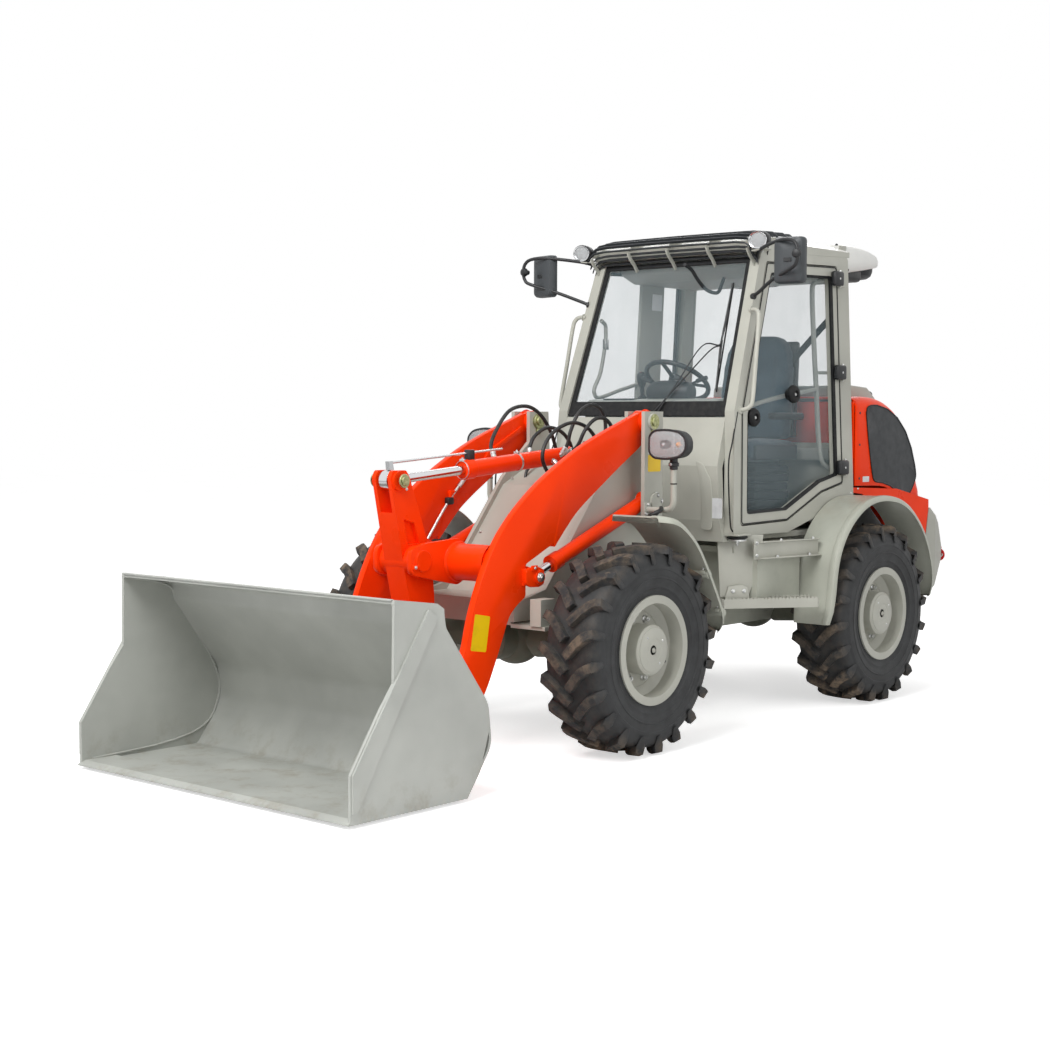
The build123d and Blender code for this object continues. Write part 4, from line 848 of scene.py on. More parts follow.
class LOADER_OT_tyres(bpy.types.Operator):
    """Builds the four tyres with their tread lugs"""
    bl_idname = "loader.tyres"
    bl_label = "Tyres"

    def execute(self, context):
        sizes = context.scene.loader_sizes
        # carcass section: out from the middle plane, radius
        section = (
            (-0.126, 0.232), (-0.139, 0.248), (-0.1355, 0.262), (-0.138, 0.275), (-0.1440, 0.289),
            (-0.1475, 0.291), (-0.1485, 0.296), (-0.1470, 0.300), (-0.1525, 0.318),
            (-0.1545, 0.334), (-0.1575, 0.336), (-0.1575, 0.340), (-0.1550, 0.342),
            (-0.1555, 0.362), (-0.1545, 0.376), (-0.1565, 0.378), (-0.1560, 0.383),
            (-0.1530, 0.395), (-0.1515, 0.398), (-0.1505, 0.410), (-0.1440, 0.432), (-0.128, 0.448),
            (-0.095, 0.4575), (-0.05, 0.4615), (0.0, 0.4625))
        section = section + tuple((-out, radius) for out, radius in reversed(section[:-1]))
        sides = 120
        lug = bpy.data.meshes.new("lug")
        shape = lug_form()
        shape.to_mesh(lug)
        shape.free()
        lug.polygons.foreach_set("use_smooth", [True] * len(lug.polygons))
        pitch = tau / sizes.lugs
        for place, _ in WHEELS:
            made = bmesh.new()
            rows = []
            for out, radius in section:
                turns = [tau * i / sides for i in range(sides)]
                rows.append([made.verts.new((sin(turn) * radius, out, cos(turn) * radius))
                             for turn in turns])
            skin(made, rows, close=True)
            bmesh.ops.recalc_face_normals(made, faces=made.faces[:])
            for half in (1, -1):
                part = lug.copy()
                if half < 0:
                    part.transform(Matrix.Diagonal((1, -1, 1, 1)))
                    part.flip_normals()
                start = radians(180) - 0.0605 / 0.4925 + (pitch / 2 if half < 0 else 0)
                turned = repeated("lugs", part, {
                    "Count": sizes.lugs, "Step": pitch, "Start": start, "Finish": finish("rubber")})
                made.from_mesh(turned)
            data = bpy.data.meshes.new("tyre_" + place + "_tread")
            for face in made.faces:
                face.smooth = True
                face.material_index = 0
            # how much dust a point holds: a little up the shoulder, all of it on the lugs
            held = made.verts.layers.float.new("tread")
            for vert in made.verts:
                radius = sqrt(vert.co.x ** 2 + vert.co.z ** 2)
                shoulder, lug_face = (radius - 0.42) / 0.1, (radius - 0.472) / 0.018
                vert[held] = max(0.0, min(0.22, shoulder)) + 0.78 * max(0.0, min(1.0, lug_face))
            made.to_mesh(data)
            made.free()
            data.materials.append(finish("rubber"))
            place_mesh("tyre_" + place + "_tread", data, Matrix.Translation(wheel_centre(place)),
                       "wheel_" + place, ("tyre_" + place,), sharp=38)
        return {"FINISHED"}


def lean(z, out=0.0):
    """Half the cab's width at a height, and some way out of its leaning side."""
    return 615 - 70 * (z - 1000) / 1450 + out


def inset(outline, amount):
    """A flat outline whose sides are moved inwards by an amount."""
    twice = sum(a[0] * b[1] - b[0] * a[1] for a, b in zip(outline, outline[1:] + outline[:1]))
    turn = 1 if twice > 0 else -1
    moved = []
    for index, here in enumerate(outline):
        here = Vector(here)
        before = (here - Vector(outline[index - 1])).normalized()
        after = (Vector(outline[(index + 1) % len(outline)]) - here).normalized()
        first = Vector((-before.y, before.x)) * turn
        second = Vector((-after.y, after.x)) * turn
        half = (first + second).normalized()
        moved.append(tuple(here + half * amount / max(0.3, half.dot(first))))
    return moved


def on_side(outline, side, out):
    """Points of a flat x and z outline on the cab's leaning side."""
    return [at(x, side * lean(z, out), z) for x, z in outline]


SIDE_OPENING = [
    (-1050, 1010), (-1088, 1595), (-1366, 2392), (-2080, 2415), (-2080, 1205), (-1850, 1160),
    (-1495, 1020)]
SCREEN_LOW = (-1042, 1572)
SCREEN_HIGH = (-1334, 2420)


def screen(across, z, out=0.0):
    """A point on the windscreen: millimetres from its left-hand edge, height and way out."""
    share = (z - SCREEN_LOW[1]) / (SCREEN_HIGH[1] - SCREEN_LOW[1])
    x = SCREEN_LOW[0] + share * (SCREEN_HIGH[0] - SCREEN_LOW[0])
    return (x + 5 + out * 0.9455, across, z + out * 0.3256)


def collar(form, points, last, key="zinc", radius=13.5):
    """A crimped hose fitting along a hose's end."""
    a, b = (Vector(points[-1]), Vector(points[-2])) if last else (
        Vector(points[0]), Vector(points[1]))
    along = (b - a).normalized()
    form.lathe(
        a, along, ((0, radius * 0.8), (6, radius * 0.8), (6, radius), (18, radius),
            (19, radius * 0.85), (24, radius * 0.85), (25, radius), (44, radius),
            (47, radius * 0.8)), key, 16)


class LOADER_OT_wheel_details(bpy.types.Operator):
    """Adds every wheel's nuts, hub cap, valve and the hub behind its disc"""
    bl_idname = "loader.wheel_details"
    bl_label = "Wheel details"

    def execute(self, context):
        sizes = context.scene.loader_sizes
        circle = sizes.nut_circle / MM
        for place, side in WHEELS:
            centre = Matrix.Translation(wheel_centre(place))
            home = Matrix.Translation(Vector((-AXLE_X, 0, 0)))
            nut = Form()
            nut.lathe((0, side * 37.5, circle), (0, side, 0),
                      ((0, 19), (3, 19), (8, 15), (8, 8)), "zinc", 18)
            nut.nut((0, side * 43, circle), (0, side, 0), 15, 17)
            part = nut.data("wheel_nut")
            part.transform(home)
            turned = repeated("wheel_nuts", part, {
                "Count": sizes.wheel_nuts, "Step": tau / sizes.wheel_nuts, "Start": 0.35,
                "Finish": finish("zinc")})
            place_mesh("wheel_nuts_" + place, turned, centre, "wheel_" + place)
            hub = Form()
            face = 136 * side
            hub.lathe(
                (0, side * 24.5, 0), (0, -side, 0), ((0, 128), (8.2, 128), (8.4, 60)), "iron", 40)
            hub.lathe(
                (0, face, 0), (0, side, 0), ((-2, 104), (2.5, 104), (4, 101), (4, 58), (2.4, 56),
                    (2.4, 24), (0, 22)), "grey", 48)
            hub.nut((0, face + side * 2, 0), (0, side, 0), 12, 5, "grey")
            for turn in (0.9, 2.6, 4.1):
                hub.nut((78 * cos(turn), face + side * 3.5, 78 * sin(turn)), (0, side, 0), 5.5, 3)
            # the valve, bent out of the rim's well, with its black cap
            along, up = cos(3.6), sin(3.6)
            hub.tube([(reach * along, side * out, reach * up)
                      for reach, out in ((168, 50), (158, 62), (156, 84))], 4.5, "zinc", 10)
            hub.rod((156 * along, side * 82, 156 * up), (156 * along, side * 102, 156 * up), 6.5,
                    "black", 12)
            hub.lathe((0, side * 136, 0), (0, side, 0),
                      ((0, 236), (4, 238), (5, 243), (3, 247), (0, 247.5)), "grey", 64, caps=False)
            hub.lathe(
                (0, side * 76, 0), (0, side, 0), ((0, 235), (14, 229), (34, 225), (50, 226),
                    (58, 230), (62, 235.5)), "grey", 64, caps=False)
            made = hub.piece("hub_" + place, "wheel_" + place)
            made.data.transform(home)
            made.data.transform(centre)
        return {"FINISHED"}


class LOADER_OT_cab_outside(bpy.types.Operator):
    """Adds the cab's seals, handrails and wipers"""
    bl_idname = "loader.cab_outside"
    bl_label = "Cab outside"

    def execute(self, context):
        form = Form()
        # windscreen seal, wide along the bottom
        low, high = 1590, 2412
        outer = [screen(lean(low) - 61, low - 14), screen(lean(high) - 61, high),
                 screen(-lean(high) + 61, high), screen(-lean(low) + 61, low - 14)]
        inner = [screen(lean(low) - 92, low + 62), screen(lean(high) - 88, high - 26),
                 screen(-lean(high) + 88, high - 26), screen(-lean(low) + 92, low + 62)]
        lift = Vector((0.9455, 0, 0.3256)) * 7 * MM
        rings = []
        for line, raised in ((outer, 0), (outer, 1), (inner, 1), (inner, 0)):
            flat = [at(*point) + lift * raised for point in line]
            rings.append(
                [a.lerp(b, t / 6) for a, b in zip(flat, flat[1:] + flat[:1]) for t in range(6)])
        form.solid(rings, "seal", close=True)
        # right-hand window's seal and the wide trim behind the glass
        edge = rounded(inset(SIDE_OPENING, -1), 22)
        inside = rounded(inset(SIDE_OPENING, 20), 14)
        form.solid([on_side(edge, -1, -18), on_side(edge, -1, -1), on_side(inside, -1, -8),
                    on_side(inside, -1, -28)], "seal", close=True)
        # black strip between the front panel and the pillar, each side
        for side in (1, -1):
            strip = ((-980, 985), (-960, 1040), (-960, 1320), (-1002, 1445), (-1056, 1598))
            form.tube([(x, side * lean(z, -1), z) for x, z in strip], 4, "seal", 8)
            # handrail up the pillar
            rail = mirrored(
                side, (-1212, lean(2128, -12), 2128), (-1206, lean(2128, 22), 2130),
                (-1198, lean(2120, 48), 2116), (-1186, lean(2070, 58), 2068),
                (-1148, lean(1860, 58), 1860), (-1110, lean(1668, 58), 1668),
                (-1100, lean(1628, 46), 1626), (-1090, lean(1612, 20), 1612),
                (-1084, lean(1608, -12), 1608))
            form.tube(rail, 11.5, "grey", 14, 5)
            for spot in (rail[0], rail[-1]):
                form.lathe((spot[0], side * lean(spot[2], -1), spot[2]), (0, side, 0.05),
                           ((0, 21), (4, 21), (5, 19), (5, 12)), "grey", 20)
        form.piece("cab_trim", "rear_unit", ("handrails",))
        # wipers: two parallel arms and one upright blade
        wiper = Form()
        foot = (screen(78, 1560, 20), screen(48, 1566, 20))
        knee = (screen(300, 1936, 26), screen(352, 1906, 26))
        hand = screen(412, 1938, 24)
        for start, turn in zip(foot, knee):
            wiper.rod((start[0], start[1], start[2] - 26), start, 11, "black", 14)
            wiper.tube([start, tuple((a + b) / 2 for a, b in zip(start, turn)), turn, hand],
                       5.5, "black", 8, 5, flat=0.6)
        wiper.nut(hand, (0.9455, 0, 0.3256), 7, 6, "black")
        blade = [
            screen(438, 1706, 12), screen(426, 1820, 14), screen(412, 1938, 16),
            screen(408, 2110, 14), screen(404, 2272, 12)]
        wiper.tube(blade, 5, "black", 8, 6)
        wiper.prism([screen(437, 1700, 0.5), screen(403, 2278, 0.5), screen(403, 2278, 11),
                     screen(437, 1700, 11)], (0, 3, 0), "seal", 0.4, 1)
        for share in (0.25, 0.75):
            z = 1706 + share * 566
            wiper.tube(
                [screen(430 - 20 * share, z, 11), screen(420, z + (120 if share < 0.5 else -120),
                    22), hand], 3.2, "black", 6, 4)
        wiper.piece("windscreen_wiper", "rear_unit")
        return {"FINISHED"}


class LOADER_OT_door_fittings(bpy.types.Operator):
    """Adds the door's seal, hinge covers, grab tubes and buffers"""
    bl_idname = "loader.door_fittings"
    bl_label = "Door fittings"

    def execute(self, context):
        form = Form()
        edge = rounded(inset(SIDE_OPENING, 58), 24)
        inside = rounded(inset(SIDE_OPENING, 72), 14)
        form.solid([on_side(edge, 1, -2), on_side(edge, 1, 2.5), on_side(inside, 1, -6),
                    on_side(inside, 1, -16)], "seal", close=True)
        # a thin lip that closes the gap round the door
        lip = rounded(inset(SIDE_OPENING, 7), 22)
        lip_in = rounded(inset(SIDE_OPENING, 13), 16)
        form.solid(
            [on_side(lip, 1, -1), on_side(lip, 1, 3), on_side(lip_in, 1, 3),
                on_side(lip_in, 1, -1)], "seal", close=True)
        for z in (1292, 1820, 2340):
            middle = lean(z)
            form.box((-2096, middle + 2, z - 38), (-2004, middle + 38, z + 44), "black", 13, 3)
            form.rod((-2050, middle + 37, z + 3), (-2050, middle + 39.5, z + 3), 6, "zinc", 12)
            form.rod((-2080, middle + 18, z - 46), (-2080, middle + 18, z + 52), 7, "zinc", 12)
        # upright grab tube inside the door, and the bar across it
        form.tube(
            [(-2030, lean(2330, -52), 2336), (-1985, lean(2325, -86), 2322),
                (-1960, lean(2260, -92), 2262), (-1962, lean(1960, -90), 1960),
                (-1972, lean(1726, -90), 1726), (-1980, lean(1480, -90), 1480),
                (-2000, lean(1335, -88), 1340), (-2036, lean(1290, -74), 1296),
                (-2060, lean(1288, -50), 1288)], 14, "light", 14, 6)
        form.tube([(-1212, lean(1575, -40), 1575), (-1226, lean(1592, -74), 1592),
                   (-1305, lean(1631, -84), 1631), (-1568, lean(1678, -88), 1678),
                   (-1960, lean(1728, -90), 1728)], 12, "light", 12, 6)
        form.rod((-2030, lean(1822, -50), 1822), (-1966, lean(1822, -90), 1822), 9, "light", 14)
        # rubber buffers outside, each with a screw in its middle
        for x, z in ((-1212, 1569), (-1606, 1695)):
            foot = (x, lean(z, -44), z)
            form.lathe(
                foot, (0, 1, 0.05), ((0, 30), (18, 30), (22, 44), (30, 49), (42, 49), (52, 42),
                    (57, 30), (57, 20), (46, 17), (46, 2)), "seal", 36)
            form.nut((x, lean(z, 3), z), (0, 1, 0.05), 8, 5)
        form.piece("door_fittings", "door")
        return {"FINISHED"}


class LOADER_OT_roof(bpy.types.Operator):
    """Builds the roof guard, the work lamps and the air conditioner's underside"""
    bl_idname = "loader.roof"
    bl_label = "Roof guard and lamps"

    def execute(self, context):
        sizes = context.scene.loader_sizes
        arch = curve_through(
            [Vector(point) for point in ((-1318, 0, 2388), (-1290, 0, 2422), (-1252, 0, 2456),
                (-1236, 0, 2490), (-1272, 0, 2520), (-1350, 0, 2541), (-1470, 0, 2551),
                (-1600, 0, 2553), (-1700, 0, 2548))], 8)
        form = Form()
        for across in (-520, -262, 0, 262, 520):
            drop = 26 if abs(across) > 500 else 6
            path = [(point.x, across, point.z - drop) for point in arch]
            rings = []
            for index, point in enumerate(path):
                ahead = Vector(path[min(index + 1, len(path) - 1)]) - Vector(
                    path[max(index - 1, 0)])
                out = Vector((ahead.z, 0, -ahead.x)).normalized()
                if out.z < 0:
                    out.negate()
                rings.append([at(point[0] + out.x * high, across + wide, point[2] + out.z * high)
                              for wide, high in ((-4, 0), (4, 0), (4, -20), (-4, -20))])
            form.soften(form.solid(rings, "grey"), 1.2, 1)
        for number in range(sizes.guard_slats):
            share = (number + 0.35) / sizes.guard_slats
            centre = arch[int(share * (len(arch) - 1))]
            ahead = arch[min(int(share * (len(arch) - 1)) + 1, len(arch) - 1)]
            run = (ahead - centre).normalized()
            out = Vector((-run.z, 0, run.x)) if run.x > 0 else Vector((run.z, 0, -run.x))
            rings = []
            for across, drop in ((-548, 62), (-536, 30), (-505, 8), (-440, 0), (-220, -2), (0, -3),
                                 (220, -2), (440, 0), (505, 8), (536, 30), (548, 62)):
                rings.append([at(centre.x + run.x * wide + out.x * high, across,
                                 centre.z + run.z * wide + out.z * high - drop)
                              for wide, high in ((-4, 0), (4, 0), (4, 16), (-4, 16))])
            form.soften(form.solid(rings, "wire"), 1.0, 1)
        form.piece("guard_slats", "rear_unit", ("roof_guard",))
        lamps = Form()
        for side in (1, -1):
            oval_lamp(lamps, (-1288, side * 588, 2496), (cos(0.12), 0, -sin(0.12)))
            # bracket, bolt and cable
            lamps.prism(
                mirrored(side, (-1325, 540, 2432), (-1225, 540, 2432), (-1222, 625, 2440),
                    (-1290, 628, 2440)), (0, 0, 6), "grey", 1)
            lamps.rod((-1262, side * 588, 2440), (-1262, side * 588, 2456), 12, "black", 16)
            lamps.nut((-1262, side * 588, 2436), (0, 0, -1), 8, 7)
            lamps.nut((-1300, side * 606, 2446), (0, 0, 1), 7, 6)
            lamps.tube(
                mirrored(side, (-1300, 580, 2490), (-1345, 570, 2462), (-1370, 552, 2440),
                    (-1380, 540, 2420)), 4, "hose", 8)
        lamps.piece("work_lamps", "rear_unit", ("roof_lamps",))
        unit = Form()
        # smooth fairing: sections across the machine, drawn in at the tail
        sections = []
        for x, half, low, high, bulge in (
                (-2288, 470, 2392, 2556, 26), (-2294, 476, 2388, 2560, 30),
                (-2380, 478, 2402, 2568, 40), (-2500, 476, 2420, 2568, 48),
                (-2600, 470, 2436, 2562, 52), (-2690, 452, 2450, 2548, 48),
                (-2750, 424, 2459, 2530, 34), (-2785, 388, 2465, 2508, 18),
                (-2800, 340, 2472, 2492, 8)):
            flat = [
                (half, low), (half, high - bulge * 0.6), (half - bulge * 1.6, high), (0, high + 5),
                (-half + bulge * 1.6, high), (-half, high - bulge * 0.6), (-half, low)]
            sections.append([at(x, y, z) for y, z in rounded(flat, min(60, 0.4 * (high - low)), 4)])
        unit.solid(sections, "white")
        for side in (1, -1):
            unit.box((-2310, side * 120, 2360), (-2560, side * 430, 2440), "black", 26, 4)
            unit.lathe(
                (-2655, side * 270, 2452), (0, 0, -1), ((-20, 150), (20, 148), (44, 138), (58, 116),
                    (62, 80)), "black", 40)
            unit.nut((-2316, side * 477, 2414), (0, side, 0), 8, 4, "black")
            unit.prism(
                mirrored(side, (-2222, 470, 2545), (-2300, 470, 2548), (-2300, 470, 2500),
                    (-2236, 470, 2470)), (0, side * 5, 0), "grey", 2)
            unit.tube(
                mirrored(side, (-2222, 440, 2490), (-2250, 448, 2440), (-2268, 440, 2400),
                    (-2300, 420, 2396)), 11, "hose", 10)
            unit.nut((-2250, side * 440, 2550), (0, 0, 1), 9, 8, "black")
        unit.tube([(-2230, 440, 2400), (-2226, 470, 2330), (-2215, 480, 2200), (-2212, 480, 2000)],
                  12, "hose", 10)
        unit.piece("air_conditioner_fairing", "rear_unit", ("air_conditioner",))
        return {"FINISHED"}


def oval_lamp(form, foot, aim):
    """An oval work lamp: black shell, chromed ring, faceted reflector and clear lens."""
    wide = (0.98, 0.76)
    form.lathe(
        foot, aim, ((0, 12), (4, 30), (20, 52), (52, 62), (66, 63), (70, 61), (70, 54), (60, 52)),
        "black", 40, stretch=wide)
    form.lathe(
        foot, aim, ((64, 52), (72, 58), (74, 57), (72, 51), (66, 50)), "chrome", 40, stretch=wide)
    form.lathe(
        foot, aim, ((40, 3), (42, 22), (50, 40), (66, 52)), "reflector", 40, caps=False,
        stretch=wide)
    form.lathe(foot, aim, ((67, 53), (71, 50), (75, 34), (76, 2), (72, 2), (70, 34), (66, 50)),
               "lens", 40, stretch=wide)
    start = Vector(foot) + Vector(aim) * 44
    form.lathe(start, aim, ((0, 7), (10, 7), (13, 3)), "white", 14)
    for side in (1, -1):
        form.lathe(start + Vector((4, side * 30, 0)), aim, ((0, 9), (5, 8), (7, 3)), "amber", 14)


class LOADER_OT_mirrors(bpy.types.Operator):
    """Builds the two mirrors on their bent tubes"""
    bl_idname = "loader.mirrors"
    bl_label = "Mirrors"

    def execute(self, context):
        form = Form()
        for side in (1, -1):
            path = [(-1300, 528, 2402), (-1268, 560, 2430), (-1215, 622, 2446), (-1130, 770, 2466),
                    (-1104, 862, 2462), (-1094, 900, 2436), (-1092, 910, 2392), (-1096, 902, 2348),
                    (-1106, 868, 2322), (-1160, 718, 2272), (-1222, 600, 2222), (-1236, 560, 2205)]
            form.tube([(x, side * y, z) for x, y, z in path], 9.5, "black", 14, 6)
            form.lathe(
                (-1240, side * 548, 2200), (0.5, side, 0), ((0, 17), (12, 17), (16, 10)), "black",
                16)
            form.nut((-1250, side * 548, 2176), (0.6, side * 0.8, 0), 7, 5)
            # clamp ball and head
            form.lathe(
                (-1074, side * 908, 2392), (-1, -side * 0.25, 0),
                ((0, 8), (4, 19), (14, 24), (26, 24), (36, 17), (48, 13)), "black", 20)
            corners = rounded([(-82, -118), (82, -118), (82, 118), (-82, 118)], 28, 5)
            turn = Matrix.Rotation(side * radians(12), 3, "Z")
            centre = Vector((-1168, side * 816, 2368))

            def ring(depth, grow):
                return [at(*(centre + turn @ Vector((depth, a * grow[0], b * grow[1]))))
                        for a, b in corners]

            form.solid([ring(-24, (0.97, 0.98)), ring(-27, (1, 1)), ring(-16, (1.0, 1.0)),
                        ring(6, (0.985, 0.99)), ring(22, (0.88, 0.93)), ring(30, (0.66, 0.80)),
                        ring(33, (0.30, 0.45))], "dark")
            form.solid([ring(-24.2, (0.93, 0.95)), ring(-26, (0.93, 0.95))], "mirror")
            form.solid([ring(20, (0.30, 0.10)), ring(38, (0.24, 0.08))], "black")
        form.piece("mirror_heads", "rear_unit", ("mirrors",))
        return {"FINISHED"}


class LOADER_OT_headlamps(bpy.types.Operator):
    """Builds the two headlamps on their stalks"""
    bl_idname = "loader.headlamps"
    bl_label = "Headlamps"

    def execute(self, context):
        form = Form()
        for side in (1, -1):
            def face(depth, wide, high, shift=0.0):
                # a lens outline that is tall inboard and drawn in at its outer end
                flat = rounded([(-114, -44), (-84, -70), (0, -76), (78, -62), (114, -30), (114, 28),
                              (78, 62), (0, 76), (-84, 70), (-114, 44)], 30, 4, ease=True)
                return [at(-470 + depth, side * (606 + shift + a * wide), 1436 + b * high)
                        for a, b in flat]

            form.solid(
                [face(-48, 0.55, 0.6), face(-40, 0.74, 0.8), face(-18, 0.94, 0.97),
                    face(30, 1.0, 1.0), face(44, 1.02, 1.03), face(50, 1.0, 1.0),
                    face(50, 0.93, 0.9), face(38, 0.92, 0.88)], "black")
            form.solid([face(0, 0.3, 0.35, -20), face(12, 0.6, 0.6, -8), face(36, 0.9, 0.86),
                        face(37, 0.91, 0.87)], "reflector")
            form.solid(
                [face(46, 0.93, 0.9), face(52, 0.9, 0.86), face(60, 0.7, 0.62), face(62, 0.3, 0.3),
                    face(59, 0.3, 0.3), face(57, 0.7, 0.62), face(49, 0.9, 0.86)], "lens")
            # bulb, its shade, and the amber lamp at the outer end
            form.lathe(
                (-455, side * 572, 1436), (1, 0, 0), ((0, 16), (14, 15), (26, 8), (30, 3)),
                "chrome", 18)
            form.lathe(
                (-448, side * 670, 1436), (1, 0, 0), ((0, 16), (20, 15), (32, 10), (38, 3)),
                "amber", 18)
            form.box((-440, side * 640, 1388), (-428, side * 643, 1484), "reflector", 1)
            form.tube(
                mirrored(side, (-478, 440, 1112), (-478, 520, 1112), (-478, 580, 1118),
                    (-478, 604, 1146), (-478, 606, 1200), (-478, 606, 1290), (-478, 606, 1362)), 15,
                "grey", 18, 6)
            form.lathe(
                (-478, side * 606, 1312), (0, 0, 1), ((0, 17), (2, 20), (16, 20), (18, 26),
                    (34, 26), (36, 20), (60, 20), (64, 26), (72, 26)), "black", 24)
            form.lathe(
                (-478, side * 606, 1240), (0, 0, 1), ((0, 16), (1, 16.4), (5, 16.4), (6, 16)),
                "seal", 20)
            form.nut((-452, side * 606, 1338), (1, 0, 0), 7, 6)
            form.nut((-500, side * 606, 1338), (-1, 0, 0), 6, 6)
            form.box((-505, side * 438, 1080), (-452, side * 450, 1146), "grey", 3)
            for x, z in ((-496, 1090), (-461, 1090), (-478, 1136)):
                form.nut((x, side * 450, z), (0, side, 0), 8, 7)
            form.tube(
                mirrored(side, (-510, 600, 1420), (-520, 590, 1350), (-500, 585, 1250),
                    (-498, 580, 1160), (-500, 540, 1106), (-505, 470, 1100), (-510, 445, 1120)),
                4.5, "hose", 8)
            form.tube(
                mirrored(side, (-440, 470, 1060), (-400, 520, 1085), (-430, 560, 1112),
                    (-490, 520, 1120), (-520, 460, 1080)), 11, "hose", 10)
        form.piece("headlamp_units", "front_unit", ("headlamps",))
        return {"FINISHED"}


class LOADER_OT_hoses(bpy.types.Operator):
    """Runs the tilt cylinder's hoses over the tower and adds its straps"""
    bl_idname = "loader.hoses"
    bl_label = "Hoses"

    def execute(self, context):
        # each from its head on the cylinder, over the tower, to its foot on the frame
        runs = (
            ((108, -48, 1366), (76, -98, 1430), (5, -120, 1512), (-89, -124, 1598),
             (-208, -124, 1622), (-305, -122, 1592), (-385, -120, 1518), (-440, -120, 1420),
             (-452, -120, 1332)),
            ((-152, -46, 1372), (-180, -66, 1420), (-226, -72, 1474), (-322, -72, 1514),
             (-430, -70, 1492), (-500, -66, 1425), (-512, -64, 1336)),
            ((-291, 46, 1378), (-304, 74, 1430), (-318, 84, 1500), (-376, 86, 1587),
             (-470, 86, 1630), (-560, 86, 1606), (-598, 84, 1520), (-572, 82, 1400),
             (-556, 82, 1336)),
            ((-232, 46, 1350), (-240, 92, 1302), (-180, 104, 1268), (-112, 106, 1300),
             (-74, 106, 1368), (-100, 106, 1442), (-180, 108, 1506), (-300, 112, 1540),
             (-420, 114, 1510), (-500, 114, 1430), (-512, 112, 1336)),
            ((-330, 44, 1382), (-336, 110, 1420), (-362, 142, 1505), (-440, 148, 1560),
             (-530, 148, 1552), (-590, 146, 1480), (-582, 144, 1400), (-560, 142, 1336)),
        )
        for number, points in enumerate(runs):
            hose = Form()
            hose.tube(points, 9.5, "hose", 14, 8)
            made = hose.piece("tilt_hose_%d" % (number + 1), None, ("tilt_hoses",))
            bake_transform(made)
            foot = Form()
            collar(foot, points, last=True)
            foot.nut((points[-1][0], points[-1][1], points[-1][2] - 6), (0, 0, 1), 15, 12)
            foot.piece("hose_foot_%d" % (number + 1), "front_unit")
            head = Form()
            collar(head, points, last=False)
            head.rod((points[0][0], points[0][1] * 0.8, points[0][2]), points[0], 12, "zinc", 16)
            head.piece("hose_head_%d" % (number + 1), "tilt_barrel_body")
        strap = Form()
        pin = Vector((-620, 0, 1395))
        along = Vector((1486, 0, -120)).normalized()
        for reach in (612, 1002):
            centre = pin + along * reach
            strap.lathe(
                centre, along, ((0, 42.2), (0, 44), (12, 44), (12, 42.2)), "zinc", 40, caps=False)
            strap.box(
                (centre.x - 2, -14, centre.z + 42), (centre.x + 14, 14, centre.z + 52), "zinc", 2)
            strap.nut((centre.x + 6, 0, centre.z + 52), (0, 0, 1), 6, 6)
        # clamp that guides the level rod, and pipe along the barrel
        centre = pin + along * 960
        strap.box(
            (centre.x - 22, -16, centre.z + 40), (centre.x + 22, 16, centre.z + 92), "black", 5)
        strap.tube([(-80, -40, 1385), (-60, -52, 1378), (200, -52, 1355), (330, -50, 1346),
                    (350, -40, 1336)], 6.5, "orange", 10)
        strap.piece("tilt_straps", "tilt_barrel_body")
        return {"FINISHED"}


class LOADER_OT_fenders(bpy.types.Operator):
    """Builds the four fenders with their raised bands and rolled lips"""
    bl_idname = "loader.fenders"
    bl_label = "Fenders"

    def execute(self, context):
        front = ((-66, 1107), (-150, 1098), (-240, 1050), (-330, 975), (-400, 880), (-465, 778),
                 (-530, 668), (-590, 545))
        rear = (
            (-1566, 470), (-1566, 720), (-1660, 950), (-1870, 1110), (-2100, 1152), (-2360, 1110),
            (-2560, 960), (-2680, 760), (-2718, 552))
        lip = ((0, 0), (0, 262), (3, 268), (4, 290), (2, 304), (-6, 314), (-16, 319), (-27, 320),
               (-27, 316), (-14, 312), (-7, 302), (-5, 288), (-8, 262), (-8, 0))
        for name, line, inner, width, wheel, body, node in (
                ("front_mudguards", front, 552, 320, -20, "front_unit", "front_fenders"),
                ("rear_mudguards", rear, 618, 242, -2108, "rear_unit", "rear_fenders")):
            form = Form()
            path = corner_cut([(x, 0, z) for x, z in line], 7)
            reach = width / 320
            centre = Vector((wheel, 0, 493))
            for side in (1, -1):
                rings = []
                for index, point in enumerate(path):
                    ahead = path[min(index + 1, len(path) - 1)] - path[max(index - 1, 0)]
                    out = Vector((-ahead.z, 0, ahead.x)).normalized()
                    if out.dot(point - centre) < 0:
                        out.negate()
                    from_end = min(index, len(path) - 1 - index)
                    narrow = (0.86, 0.95, 0.985)[from_end] if from_end < 3 else 1.0
                    here = [at(point.x + out.x * high, side * (inner + across * reach * narrow),
                               point.z + out.z * high) for high, across in lip]
                    skirt = [spot - out * 0.024 for spot in here]
                    if index == 0:
                        rings.append(skirt)
                    rings.append(here)
                    if index == len(path) - 1:
                        rings.append(skirt)
                form.solid(rings, "olive")
            if body == "front_unit":
                for x, z in ((-425, 815), (-551, 622)):
                    for side in (1, -1):
                        form.rod((x, side * 334, z), (x, side * 862, z), 18, "olive", 20)
                        for across in (600, 820):
                            form.box(
                                (x - 26, side * across, z + 4),
                                (x + 26, side * (across + 30), z + 22), "olive", 3)
                            form.nut((x + 16, side * (across + 15), z + 28), (0.8, 0, 0.6), 7, 6)
            else:
                for side in (1, -1):
                    for x, z in ((-1572, 640), (-1572, 800), (-2108, 1150), (-2440, 1070)):
                        form.nut((x, side * 640, z), (-1, 0, 0) if x > -1600 else (0, 0, 1), 7, 6)
            form.piece(name, body, (node,))
        return {"FINISHED"}


